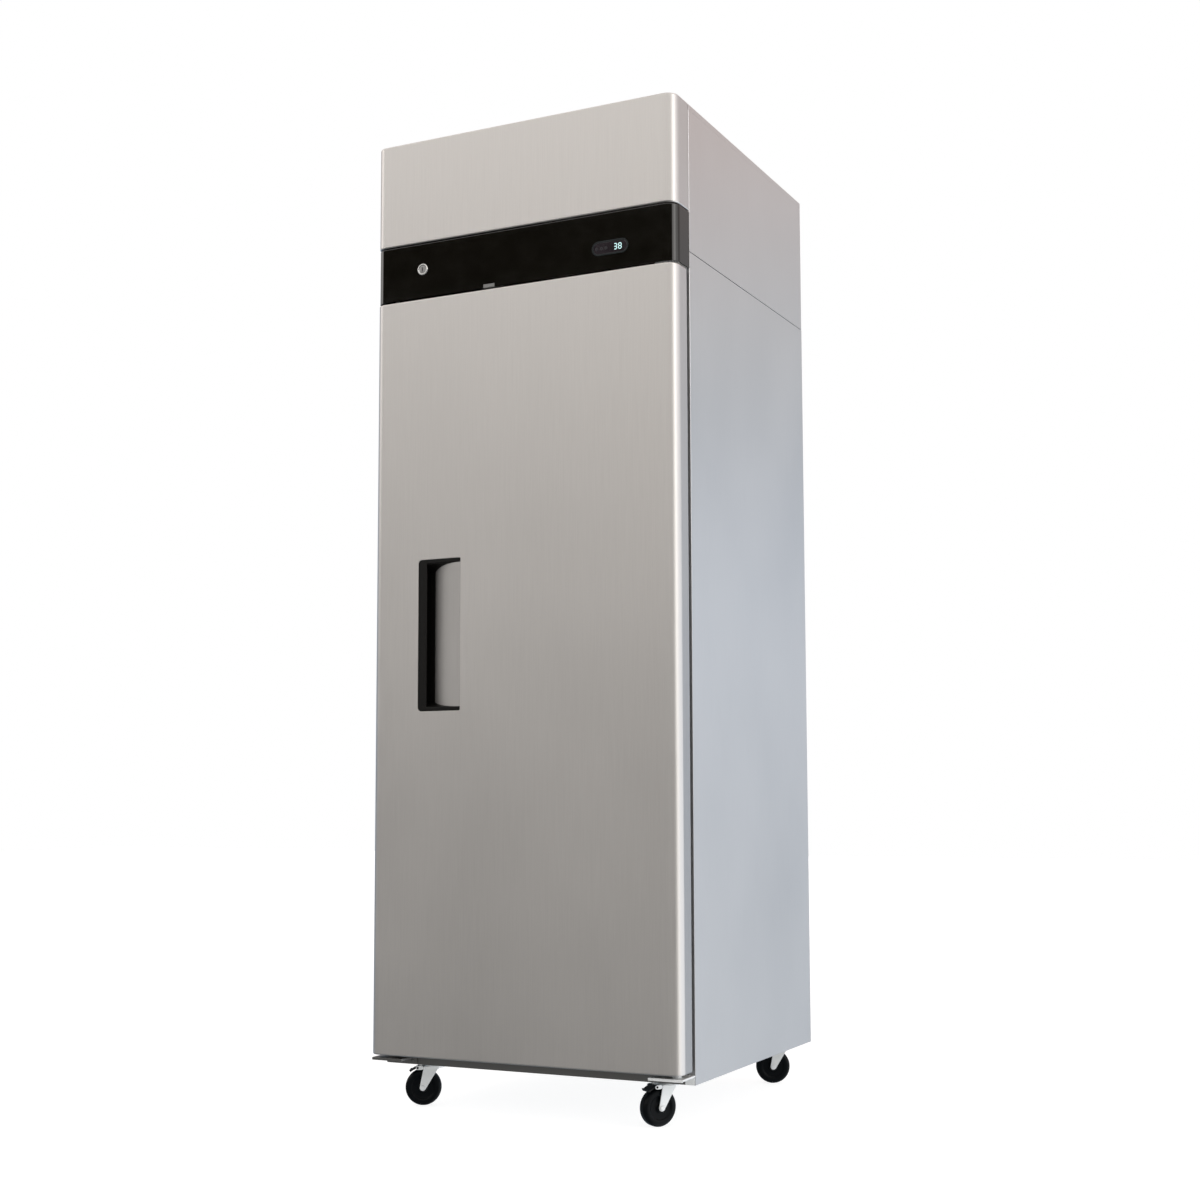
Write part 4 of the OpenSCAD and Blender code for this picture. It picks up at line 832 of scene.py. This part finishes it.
def make_cover():
    cover = Part()
    back, notch = COVER_Y[1], 10
    right = [(333, back), (333, back - notch), (326, back - notch), (326, back)]
    rear = right + [(-a, b) for a, b in reversed(right)]
    folded_front(cover, HALF, COVER_Y, COVER_Z, SKIN_BEND, bottom=14, rear=rear)
    for side in (-1, 1):
        ear = rounded_rect((back - 10, back - 0.5), (COVER_Z[1] - 12, COVER_Z[1] - 1.4), (3, 3, 0.5, 0.5), 4)
        pin_hole = circle(FACE_Y - 8, COVER_Z[1] - 5.5, 2.6, 16)
        cover.plate(ear, sorted((side * (HALF - 14), side * (HALF - 11))), sideways, [pin_hole], 0.3)
    cover.done("cover_pan", "cover", "brushed_front", "front_cover", solid=1.2)


def make_sides():
    x, y, z = box_mm("side_panel_right")
    flange = 14
    for side, node in ((-1, "side_panel_left"), (1, "side_panel_right")):
        panel = Part()
        path = [(side * a, b) for a, b in ((x[1], y[1]), (x[1], y[0]), (x[1] - flange, y[0]))]
        panel.sheet(path, -side * SHEET, z, radius=SHEET_BEND)
        panel.done(node + "_sheet", "cabinet", "side_steel", node)


def make_housing():
    _, y, z = box_mm("housing_sides")
    rim_z, cheek_x = z[1] - 12, HALF - 22
    pin_x, pin_y, pin_z = HALF - 19, FACE_Y - 8, z[1] - 5.5      # the cover's hinge pins
    pin = [(2.5, pin_x - 1), (2.5, HALF - 8.6), (2.0, HALF - 8), (0, HALF - 8)]
    housing = Part()
    for side in (-1, 1):
        wall = [(HALF - 15, y[1]), (HALF, y[1]), (HALF, FACE_Y), (cheek_x, FACE_Y)]
        housing.sheet([(side * a, b) for a, b in wall], -side * SHEET, (z[0], rim_z), radius=SHEET_BEND)
        rim = [(side * HALF, rim_z), (side * HALF, z[1]), (side * (HALF - 15), z[1])]
        housing.sheet(rim, side * SHEET, (FACE_Y + 0.3, y[1] - 0.3), facing, 2.4)
        housing.block(sorted((side * cheek_x, side * pin_x)), (FACE_Y - 13, FACE_Y),
                      (z[1] - 14, z[1] - 1.6), 0.5)
        housing.lathe([(r, side * h) for r, h in pin], (0, pin_y, pin_z), "x", 20)
    rail = [(z[1] - 30, FACE_Y + 1.5), (z[1] - 1, FACE_Y + 1.5), (z[1] - 1, FACE_Y + 12)]
    housing.sheet(rail, 1.4, (-cheek_x, cheek_x), lambda u, v, w: (w, v, u), 2.0)
    housing.done("housing_shell", "cabinet", "side_steel", "housing_sides")


def make_rear():
    x, y, z = box_mm("housing_back")
    gland = box_mm("cord_gland")
    rows, row_pitch, half_w = 12, 16, 80
    louvres = [(cx, z[0] + 58.5 + row_pitch * i) for i in range(rows) for cx in (-200, 0)]
    slots = [rounded_rect((cx - half_w, cx + half_w), (low, low + 6), 2.4, 3) for cx, low in louvres]
    rear = Part()
    rear.plate(rectangle(x, z), y, holes=slots + [circle(middle(gland[0]), middle(gland[2]), 10, 32)],
               edge=0.2, steps=1)
    rear.done("rear_grille", "cabinet", "galvanised", "housing_back")

    hoods = Part()
    reach = half_w + 2
    for cx, low in louvres:
        strips = []
        for angle in range(0, 91, 15):
            a = math.radians(angle)
            out, drop = 5.5 * math.sin(a), 7.65 * (1 - math.cos(a))
            strips.append(hoods.verts((cx + end, y[1] + out, low + 8 - drop) for end in (-reach, reach)))
        hoods.skin(strips, closed=False)
        for i, end in enumerate((-reach, reach)):
            foot = hoods.verts([(cx + end, y[1], strips[-1][0].co.z)])
            hoods.bm.faces.new([strip[i] for strip in strips] + foot)
    hoods.done("rear_louvres", "cabinet", "galvanised", sharp=50)

    _, (_, back), (low, top) = box_mm("side_panel_right")
    seat, gap = back - 2.2, (top - low - 80) / 8
    places = [(sx * (HALF - 9), seat, low + 40 + i * gap) for sx in (-1, 1) for i in range(9)]
    places += [(-260 + 130 * i, seat, z_row) for i in range(5) for z_row in (low + 22, top - 22)]
    screws = Part()
    for place in places:
        screws.screw(place, "y", 4, 2.0)
    screws.done("rear_screws", "cabinet", "zinc_plate")


def make_liner():
    x, y, z = box_mm("inner_liner")
    x, z = (x[0] + 1, x[1] - 1), (z[0] + 1, z[1] - 1)
    back = y[1] - 1
    cove = 12
    liner = Part()
    sections = [(0.0, y[0] + 0.2), (0.0, back - cove - 0.8)]
    for a in map(math.radians, (0, 22, 45, 68, 90)):
        sections.append((cove * (1 - math.cos(a)), back - cove * (1 - math.sin(a))))
    rows = []
    for d, depth in sections:
        ring = rounded_rect((x[0] + d, x[1] - d), (z[0] + d, z[1] - d), max(cove - d, 0.4), 6)
        rows.append(liner.verts((u, depth, v) for u, v in ring))
    liner.skin(rows)
    liner.fill([rows[-1]])
    liner.done("liner_cavity", "cabinet", "liner_aluminium", "inner_liner", solid=-0.9)

    trim = Part()
    fx, fy, fz = box_mm("face_frame")
    trim.plate(rectangle(fx, fz), (fy[0] + 0.02, fy[1]), holes=[rounded_rect(x, z, cove, 6)],
               edge=0.2, steps=1)
    # The face frame takes the darkened face_steel, which paints the shade under the door.
    trim.done("face_frame_sheet", "cabinet", "face_steel", "face_frame")


def make_shelf(node, body):
    x, y, z = box_mm(node)
    rod, wire, pitch = 3.5, 1.9, 24
    edge = rod + 0.4
    z_rod = z[0] + edge
    x0, x1 = x[0] + edge, x[1] - edge
    y0, y1 = y[0] + edge, y[1] - edge
    shelf = Part()
    ring = bent([(x0, y0, z_rod), (x1, y0, z_rod), (x1, y1, z_rod), (x0, y1, z_rod)], 9, 6, closed=True)
    shelf.tube(ring, rod, 12, closed=True)
    for i in (1, 2):
        yy = y0 + (y1 - y0) * i / 3
        shelf.tube([(x0, yy, z_rod), (x1, yy, z_rod)], rod - 0.8, 10)
    count = int((x1 - x0 - 20) / pitch / 2)
    top = z_rod + rod + 0.6
    for i in range(-count, count + 1):
        xx = i * pitch
        path = bent([(xx, y0 - 2.6, top - 3.5), (xx, y0 - 2.2, top), (xx, y1 + 2.2, top),
                     (xx, y1 + 2.6, top - 3.5)], 2.5, 3)
        shelf.tube(path, wire, 8)
    shelf.done(node + "_wires", body, "shelf_coating", node)


def make_hinges():
    _, y, z = box_mm("bottom_hinge_brackets")
    low = DOOR_Z[0] - 11                # underside of the plates
    plates, legs = Part(), Part()       # the legs and the left plate take the darkened face_steel, painted shade under the door, while the right plate keeps the zinc
    for side in (-1, 1):
        wide = sorted((side * (PIN_X - 51), side * (HALF - 0.6)))
        outline = rounded_rect(wide, (y[0] + 0.6, FACE_Y - 0.2), (5, 5, 0.4, 0.4), 5)
        plate = plates if side > 0 else legs
        plate.plate(outline, (low, low + 4), level, [] if side > 0 else [circle(-PIN_X, PIN_Y, 5.1, 24)], 0.6)
        plate.plate(rounded_rect(wide, (low - 1.6, low + 4), 1.0, 3), (y[0], y[0] + 2.5), edge=0.7, steps=3)
        legs.plate(rounded_rect(wide, (z[0], low + 2), (3, 3, 0.4, 0.4), 4),
                   (FACE_Y - 3, FACE_Y - 0.1), edge=0.5)
        heel = sorted((side * (HALF - 20), side * (HALF - 0.6)))
        plate.plate(rounded_rect(heel, (z[0], low), 1.5, 3), (FACE_Y - 4.4, FACE_Y - 2.9), edge=0.6)
        for dx in (-40, -18):
            legs.screw((side * (PIN_X + dx), FACE_Y - 3, low - 7), "y", 3.6, 2.0, -1)
    top = DOOR_Z[0] - 0.3
    plates.lathe([(0, low + 1), (5, low + 1), (5, top + 16.3), (4.2, top + 18.3), (0, top + 18.3)],
                 (PIN_X, PIN_Y, 0), "z", 32)
    plates.lathe([(5.05, low + 4), (9, low + 4), (9.2, low + 4.6), (9.2, top - 0.6), (9, top), (5.05, top)],
                 (PIN_X, PIN_Y, 0), "z", 32, loop=True)
    plates.done("bottom_hinge_plates", "cabinet", "zinc_plate", "bottom_hinge_brackets")
    # The legs piece, with the left plate, is painted shade: dark face_steel where the door and the plate's
    # lip cast shadow.
    legs.done("bottom_hinge_legs", "cabinet", "face_steel")
    tx, ty, tz = box_mm("top_hinge_bracket")
    plate_z = STRIP_Z[0] + 0.5
    upper = Part()
    upper.plate(rounded_rect(tx, (ty[0], FACE_Y), (6, 4, 0.4, 0.4), 5), (plate_z, plate_z + 4),
                level, (), 0.6)
    upper.plate(rounded_rect(tx, (plate_z + 3, tz[1]), (0.4, 0.4, 5, 5), 4), (FACE_Y - 3, FACE_Y), edge=0.5)
    upper.lathe([(0, tz[0]), (4.2, tz[0]), (5, tz[0] + 2), (5, plate_z + 1), (0, plate_z + 1)],
                (PIN_X, PIN_Y, 0), "z", 32)
    for dx in (-20, 8):
        upper.screw((PIN_X + dx, FACE_Y - 3, plate_z + 22), "y", 4.5, 2.3, -1)
    upper.done("top_hinge_plate", "cabinet", "zinc_plate", "top_hinge_bracket")


# ---- Casters ----

# Place of each swivel and the way that the caster trails, in degrees.
CASTERS = {"front_left": (-268, -234, 206), "front_right": (268, -234, 236), "rear_left": (-296, 332, 8),
           "rear_right": (296, 332, 206)}
TRAIL, AXLE_Z, CROWN_Z = 25, 37.5, 78
FORK_Y = (14.5, 17)                    # inner and outer face of a fork's cheek
PLATE_Z, PLATE_HALF, BOLT_AT = (87, 90), 28, 22.5
PEDAL_X, PEDAL_Y, SHOE_R = 36, 13.5, (41, 44)


def make_fork(where, turn):
    fork = Part()
    cheek = [(-9, CROWN_Z + 3)] + arc(TRAIL, AXLE_Z, 6.5, 205, 375, 14) + [(TRAIL - 2, CROWN_Z + 3)]
    facets = {1: 6, -1: 24}         # a bolt's head on one side and a rivet's on the other
    for side in (-1, 1):
        fork.plate(cheek, sorted(side * v for v in FORK_Y), edge=0.7, steps=3)
        if where.startswith("front"):
            lug = sorted((side * 14.6, side * 16.9))
            fork.plate(stadium(32, CROWN_Z, 16, 8, 8), lug,
                       holes=[circle(PEDAL_X, CROWN_Z, 2.1, 16)], edge=0.4)
        head = [(0, 17.0), (5.6, 17.0), (5.6, 19.2), (4.6, 20.2), (0, 20.2)]
        fork.lathe([(r, side * h) for r, h in head], (TRAIL, 0, AXLE_Z), "y", facets[side])
    fork.plate(rounded_rect((-9, TRAIL - 2), (-14.6, 14.6), 2, 3), (CROWN_Z, CROWN_Z + 3), level,
               [circle(0, 0, 5.1, 24)], 0.5)
    race = [(5.1, 0.4), (19.5, 0.4), (20.6, 1.2), (21, 2.6), (20.4, 4.4), (18.4, 5.6), (16, 6), (5.1, 6)]
    fork.lathe(race, (0, 0, CROWN_Z), "z", 48, loop=True)
    fork.lathe([(0, -17), (4, -17), (4, 17), (0, 17)], (TRAIL, 0, AXLE_Z), "y", 20)
    fork.done(f"fork_{where}", f"caster_{where}", "zinc_plate", f"caster_fork_{where}", turn=turn)


def make_wheel(where, turn):
    side = [(4.06, 14), (8.4, 14), (9, 13.4), (9.6, 10.6), (11, 9.6), (12.4, 9.2), (21.5, 9.2),
            (22.8, 9.6), (24, 11.2), (25.4, 11.9), (27, 12)] + arc(29.5, 4, 8, 90, 0, 7)
    wheel = Part()
    wheel.lathe(side + [(r, -h) for r, h in reversed(side)], (TRAIL, 0, AXLE_Z), "y", 72, loop=True)
    wheel.done(f"tyre_{where}", f"wheel_{where}", "wheel_rubber", f"caster_wheel_{where}", turn=turn)


def make_pedal(where, side, turn):
    pivot = (PEDAL_X, 0, CROWN_Z)
    inner, outer = SHOE_R
    brake = Part()
    brake.lathe([(0, -17.5), (2, -17.5), (2, 17.5), (0, 17.5)], pivot, "y", 16)
    brake.lathe([(2, -PEDAL_Y), (4, -PEDAL_Y), (4, PEDAL_Y), (2, PEDAL_Y)], pivot, "y", 24, loop=True)
    shoe = arc(TRAIL, AXLE_Z, inner, 50, 74, 12) + arc(TRAIL, AXLE_Z, outer, 74, 54.5, 10)
    toe = arc(TRAIL, AXLE_Z, outer + 1.8, 53.5, 50.4, 3)
    brake.plate(shoe + toe, (-PEDAL_Y, PEDAL_Y), edge=0.7, steps=3)
    for u, w in arc(TRAIL, AXLE_Z, outer + 0.2, 58, 68, 2):
        brake.lathe([(0, -11), (0.7, -10.4), (0.7, 10.4), (0, 11)], (u, 0, w), "y", 8)
    brake.done(f"pedal_{where}", f"brake_{side}", "pedal_black", f"brake_pedal_{side}", turn=turn)


def make_casters():
    plates = Part()
    for where, (x, y, angle) in CASTERS.items():
        turn = Matrix.Translation((x, y, 0)) @ Matrix.Rotation(math.radians(angle), 4, "Z")
        make_fork(where, turn)
        make_wheel(where, turn)
        end, side = where.split("_")
        if end == "front":
            make_pedal(where, side, turn)
        outline = rounded_rect((x - PLATE_HALF, x + PLATE_HALF), (y - PLATE_HALF, y + PLATE_HALF), 5, 4)
        plates.plate(outline, PLATE_Z, level, (), 0.6)
        race = [(0, 87.2), (19, 87.2), (20.6, 86.8), (21, 86), (20.6, 84.8), (19.4, 84.4), (0, 84.4)]
        king_pin = [(0, 87), (5, 87), (5, 78), (7.6, 77.6), (7.6, 75), (6.6, 74.1), (0, 74.1)]
        plates.lathe(race, (x, y, 0), "z", 48)
        plates.lathe(king_pin, (x, y, 0), "z", 24)
        for dx in (-BOLT_AT, BOLT_AT):
            for dy in (-BOLT_AT, BOLT_AT):
                plates.lathe([(0, 87), (5.2, 87), (5.2, 83.6), (4.4, 83), (0, 83)],
                             (x + dx, y + dy, 0), "z", 6)
    plates.done("caster_mounts", "cabinet", "zinc_plate", "caster_plates")


# ---- Cooling parts ----

EVAPORATOR_FAN_AT = (0, 60)
COMPRESSOR_AT = (190, 190)
DECK_Z = box_mm("top_deck")[2][1]


def finned_coil(name, node, slot, x, y, z, pitch, rows, overhang, deep=3):
    """Fins across a pipe that winds through them, in deep layers of rows each."""
    coil = Part()
    count = int((x[1] - x[0]) / pitch)
    for i in range(count + 1):
        fx = x[0] + i * pitch
        coil.block((fx, fx + 0.5), y, z, 0)
    for k in range(deep):
        yy = y[0] + (y[1] - y[0]) * (k + 0.5) / deep
        heights = [z[0] + (j + 0.5) * (z[1] - z[0]) / rows for j in range(rows)]
        path = []
        for j, zz in enumerate(heights):
            ends = [(x[0] - overhang + 4, yy, zz), (x[1] + overhang - 4, yy, zz)]
            path += ends if j % 2 == 0 else ends[::-1]
        coil.tube(bent(path, (z[1] - z[0]) / rows / 2 - 0.1, 6), 3.6, 10)
    coil.done(name, "cabinet", slot, node)


def fan(name, node, body, slot, centre, axis, hub_r, tip_r, depth, pitch, hub, shaft, blades=5):
    """Twisted blades on a hub. hub is (from, to) along the axis, and shaft is (from, to, radius)."""
    part = Part()
    for b in range(blades):
        spin = Matrix.Rotation(2 * math.pi * b / blades, 3, "Z")
        rows = []
        for i in range(8):
            t = i / 7
            r = hub_r - 2 + (tip_r - hub_r + 2) * t
            chord = depth * (0.72 + 0.5 * t - 0.32 * t * t)
            tilt = math.radians(pitch * (1.25 - 0.45 * t))
            row = []
            for j in range(7):
                s = j / 6 - 0.5
                camber = 2.6 * (1 - 4 * s * s)
                u, w = s * chord * math.cos(tilt), s * chord * math.sin(tilt) + camber
                swing = math.atan2(u + 0.18 * t * r * t, r)
                row.append(spin @ Vector((r * math.cos(swing), r * math.sin(swing), w)))
            rows.append(row)
        upper = [part.verts(r) for r in rows]
        lower = [part.verts(v - Vector((0, 0, 1.3)) for v in r) for r in rows]
        part.skin(upper, closed=False)
        part.skin(lower, closed=False)
        rims = []
        for s in (upper, lower):
            rims.append(s[0] + [r[-1] for r in s[1:]] + s[-1][-2::-1] + [r[0] for r in s[-2:0:-1]])
        part.skin(rims)
    part.lathe([(0, hub[0]), (hub_r * 0.6, hub[0]), (hub_r * 0.92, hub[0] + 1.5), (hub_r, hub[0] + 4),
                (hub_r, hub[1] - 1), (hub_r - 1, hub[1]), (0, hub[1])], (0, 0, 0), "z", 36)
    start, end, shaft_r = shaft
    part.lathe([(0, start), (shaft_r, start), (shaft_r, end - 0.6), (shaft_r - 0.6, end), (0, end)],
               (0, 0, 0), "z", 20)
    turn = Matrix.Translation(centre)
    if axis == "y":
        turn = turn @ Matrix.Rotation(-math.pi / 2, 4, "X")
    part.done(name, body, slot, node, turn=turn, sharp=50)


def make_evaporator():
    x, y, z = box_mm("evaporator_cover")
    t = 1.2
    fan_at = EVAPORATOR_FAN_AT
    cover = Part()
    grille_r, slot_pitch = 88, 44
    slots_x = [(i - 4) * slot_pitch for i in range(9)]
    floor_holes = [circle(*fan_at, grille_r, 64)] + [stadium(cx, y[1] - 80, 32, 20, 6) for cx in slots_x]
    cover.plate(rounded_rect(x, y, 3, 3), (z[0], z[0] + t), level, floor_holes, 0.4)
    lows = [z[1] - 85 + k * 20 for k in range(3)]
    front_holes = [rounded_rect((cx - 16, cx + 16), (low, low + 8), 3.5, 4) for cx in slots_x for low in lows]
    cover.plate(rounded_rect(x, (z[0] + 0.6, z[1]), 0.4, 1), (y[0], y[0] + t), facing, front_holes, 0.3, 1)
    cover.plate(rounded_rect(x, (z[0] + 0.6, z[1]), 0.4, 1), (y[1] - t, y[1]), facing, (), 0.3, 1)
    for side in (-1, 1):
        wall = sorted((side * x[1], side * (x[1] - t)))
        cover.plate(rounded_rect(y, (z[0] + 0.6, z[1]), 0.4, 1), wall, sideways, (), 0.3, 1)
    for sx in (-1, 1):
        for yy in (y[0] + 16, y[1] - 16):
            cover.screw((sx * (x[1] - 14), yy, z[0]), "z", 4, 2, -1)
    cover.done("evaporator_case", "cabinet", "evaporator_aluminium", "evaporator_cover")
    _, coil_y, coil_z = box_mm("evaporator_coil")
    finned_coil("evaporator_fins", "evaporator_coil", "evaporator_aluminium", (-190, 190), coil_y, coil_z,
                pitch=6, rows=4, overhang=26)
    guard = Part()
    gz = middle(box_mm("evaporator_fan_guard")[2])
    for r in (*range(14, 85, 10), 92):
        guard.tube([(fan_at[0] + a, fan_at[1] + b, gz) for a, b in circle(0, 0, r, 56)], 1.1, 6, closed=True)
    for i in range(6):
        a = math.pi * i / 3
        c, s = math.cos(a), math.sin(a)
        guard.tube([(fan_at[0] + c * r, fan_at[1] + s * r, gz + 0.3) for r in (12, 93)], 1.2, 6)
    guard.done("evaporator_guard_wires", "cabinet", "zinc_plate", "evaporator_fan_guard")
    fan("evaporator_fan_rotor", "evaporator_fan_blade", "evaporator_fan", "fan_plastic",
        (*fan_at, z[0] + 26), "z", hub_r=16, tip_r=80, depth=36, pitch=26, hub=(-9, 11), shaft=(0, 40, 3))
    mx, _, mz = box_mm("evaporator_fan_motor")
    motor = Part()
    motor.lathe([(3.06, mz[0]), (24, mz[0]), (28.6, mz[0] + 1.6), (30, mz[0] + 5), (30, mz[1] - 5),
                 (28.6, mz[1] - 1.6), (24, mz[1]), (3.06, mz[1])], (*fan_at, 0), "z", 48, loop=True)
    motor.plate(rounded_rect(mx, (fan_at[1] - 8, fan_at[1] + 8), 1, 2), (mz[1] - 10, mz[1] - 7),
                level, (), 0.5)
    motor.done("evaporator_motor_case", "cabinet", "motor_grey", "evaporator_fan_motor")


def make_lamp():
    x, y, z = box_mm("interior_lamp")
    rings = ((0, 26), (0, 21.6), (0.8, 21), (7.6, 21), (8.2, 20.2), (8.6, 12), (10, 6), (13, 2.4),
             (18, 0.6), (24, 0))
    lamp = Part()
    rows = []
    for d, h in rings:
        outline = stadium(middle(x), middle(y), (x[1] - x[0]) - 2 * d, (y[1] - y[0]) - 2 * d, 14)
        rows.append(lamp.verts((u, v, z[0] + h) for u, v in outline))
    lamp.skin(rows)
    lamp.fill([rows[-1]])
    lamp.fill([rows[0]])
    lamp.done("lamp_dome", "cabinet", "lamp_lens", "interior_lamp")


def make_compressor():
    (cx, cy), base = COMPRESSOR_AT, DECK_Z
    r, h, lift = 75, 190, 12               # the can, and its height over the deck
    comp = Part()
    dome = arc(r - 34, h - 34 + lift, 34, 0, 90, 8)
    bowl = arc(r - 30, 30 + lift, 30, -90, 0, 7)
    mid = lift + h / 2
    flange = [(r, -4), (r + 3.6, -3.2), (r + 4, -1), (r + 4, 1), (r + 3.6, 3.2), (r, 4)]
    profile = [(0, lift)] + bowl + [(a, mid + b) for a, b in flange] + dome + [(0, h + lift)]
    comp.lathe(profile, (cx, cy, base), "z", 64)
    comp.plate(rounded_rect((cx - 95, cx + 95), (cy - 55, cy + 55), 14, 5), (base + 8, base + 13),
               level, (), 1.2)
    for sx in (-80, 80):
        for sy in (-42, 42):
            comp.lathe([(0, 0), (10, 0), (10, 6), (8.6, 8), (10, 9.6), (10, 15), (9, 16.4), (4, 17),
                        (4, 20), (0, 20)],
                       (cx + sx, cy + sy, base), "z", 28)
    comp.plate(rounded_rect((cx + r - 12, cx + r + 22), (cy - 26, cy + 26), 5, 4), (base + 60, base + 130),
               level, (), 3)
    comp.done("compressor_shell", "cabinet", "compressor_black", "compressor")


def make_condenser():
    _, y, z = box_mm("condenser_coil")
    finned_coil("condenser_fin_pack", "condenser_coil", "condenser_fins", (-320, -20), y, z,
                pitch=4, rows=8, overhang=8)

    sx, sy, sz = box_mm("condenser_shroud")
    fan_x, fan_z = middle(sx), middle(z)
    face, skin, ring_r = sy[1] - 12, 1.6, 112
    shroud = Part()
    shroud.plate(rounded_rect(sx, z, 4, 3), (face - 1.5, face),
                 holes=[circle(fan_x, fan_z, ring_r, 72)], edge=0.5)
    inside = rounded_rect((sx[0] + skin, sx[1] - skin), (z[0] + skin, z[1] - skin), 3, 3)
    shroud.plate(rounded_rect(sx, z, 4, 3), (sy[0], face - 1.4), holes=[inside], edge=0.3, steps=1)
    ring = [(ring_r, face - 1.4), (ring_r, face + 11), (ring_r + 0.6, sy[1]), (ring_r + 1.4, sy[1] - 0.4),
            (ring_r + 1.5, face), (ring_r + 2, face - 1.4)]
    shroud.lathe(ring, (fan_x, 0, fan_z), "y", 72, loop=True)
    foot_w = 14
    for fx in (sx[0], sx[1] - foot_w):
        shroud.block((fx, fx + foot_w), (sy[0], face), (sz[0], z[0] + 1), 0.5)
    shroud.done("shroud_ring", "cabinet", "shroud_black", "condenser_shroud")
    fan("condenser_fan_rotor", "condenser_fan_blade", "condenser_fan", "fan_aluminium",
        (fan_x, face, fan_z), "y", hub_r=20, tip_r=105, depth=52, pitch=24, hub=(-12, 12), shaft=(0, 45, 4))
    mx = box_mm("condenser_fan_motor")[0]
    motor = Part()
    m0 = face + 20
    case = [(4.06, 0), (26, 0), (32, 2), (34, 7), (34, 46), (31, 53), (24, 55), (0, 55), (0, 30), (4.06, 30)]
    motor.lathe(case, (fan_x, m0, fan_z), "y", 48)
    for k in range(5):
        rib = (fan_x, m0 + 12 + 6 * k, fan_z)
        motor.lathe([(34, 2), (34, 0), (35.4, 0.4), (35.4, 1.6)], rib, "y", 48, loop=True)
    motor.plate(rounded_rect((mx[0], mx[1]), (fan_z - 8, fan_z + 8), 3, 3), (m0 + 26, m0 + 29), edge=0.5)
    for ax in (mx[0], mx[1] - 3):
        motor.block((ax, ax + 3), (face, m0 + 28), (fan_z - 8, fan_z + 8), 0.5)
    motor.done("condenser_motor_case", "cabinet", "motor_grey", "condenser_fan_motor")


def make_lines():
    (cx, cy), base = COMPRESSOR_AT, DECK_Z
    _, y, z = box_mm("condenser_coil")
    lines = Part()
    top_z, low_z = z[0] + 3.5 * (z[1] - z[0]) / 6, z[0] + 0.5 * (z[1] - z[0]) / 6
    mid_y, end_x = middle(y), -12
    lines.tube(bent([(cx - 40, cy + 56, base + 60), (cx - 40, cy + 110, base + 60),
                     (-60, cy + 110, base + 60), (-60, cy + 110, base)],
                    20, 7), 5, 14)
    lines.tube(bent([(cx - 72, cy, top_z), (20, cy, top_z), (20, mid_y, top_z), (end_x, mid_y, top_z)],
                    18, 7), 4, 12)
    lines.tube(bent([(end_x, mid_y, low_z), (40, mid_y, low_z), (40, 42, low_z)], 15, 7), 3.2, 10)
    lines.lathe([(3.2, 36), (3.6, 40), (9.5, 48), (11, 52), (11, 108), (9.5, 112), (3, 120), (2.4, 124)],
                (40, 0, low_z), "y", 32)
    lines.tube(bent([(40, 120, low_z), (40, 200, low_z), (40, 200, base)], 14, 7), 2.4, 10)
    lines.done("copper_lines", "cabinet", "copper", "refrigerant_lines")


def make_electrical_box():
    base = DECK_Z
    ey = box_mm("electrical_box")[1]
    box = Part()
    box.plate(rounded_rect((70, 210), (base + 8, base + 118), 3, 3), (-239, -160), edge=1.2)
    box.plate(rounded_rect((68, 212), (base + 6, base + 120), 4, 3), (ey[0], ey[0] + 1.3), edge=0.5)
    for bx in (80, 200):
        for bz in (base + 16, base + 110):
            box.screw((bx, ey[0], bz), "y", 3.4, 1.8, -1)
    for bx in (84, 196):
        box.block((bx - 8, bx + 8), (-210, -190), (base, base + 9), 0.5)
    box.lathe([(0, 0), (9, 0), (9, 3), (7, 4), (7, 7), (0, 7)], (210, -200, base + 60), "x", 24)
    box.done("electrical_case", "cabinet", "box_grey", "electrical_box")


def make_gland():
    gx, gy, gz = box_mm("cord_gland")
    centre = (middle(gx), gy[1], middle(gz))      # at the outer end
    body = [(4, -26), (9.8, -26), (9.8, -16.2), (9.8, -14.9), (13.4, -14.8), (14, -14), (14, -10.8),
            (13.2, -10), (10.8, -9.6), (10.2, -8), (10.5, -7), (9.8, -6), (10.3, -5), (9.5, -4), (10, -3),
            (9, -1.6), (7.6, 0), (4, 0)]
    gland = Part()
    gland.lathe(body, centre, "y", 40, loop=True)
    gland.lathe([(9.9, -22), (14, -22), (14, -16.3), (9.9, -16.3)], centre, "y", 6, loop=True)
    gland.done("gland_body", "cabinet", "gland_black", "cord_gland")


make_door()
make_handle()
make_strip()
make_lock()
make_switch()
make_cover()
make_sides()
make_housing()
make_rear()
make_liner()
for place in ("lower", "middle", "upper"):
    make_shelf(f"shelf_{place}", f"{place}_shelf")
make_hinges()
make_casters()
make_evaporator()
make_lamp()
make_compressor()
make_condenser()
make_lines()
make_electrical_box()
make_gland()

# Nodes that keep their CAD shape get their slot's material.
for part in frame["record"]["subparts"]:
    node = NODES[part["node"]]
    node.data.materials.clear()
    node.data.materials.append(MATS[part["material_slot"]])
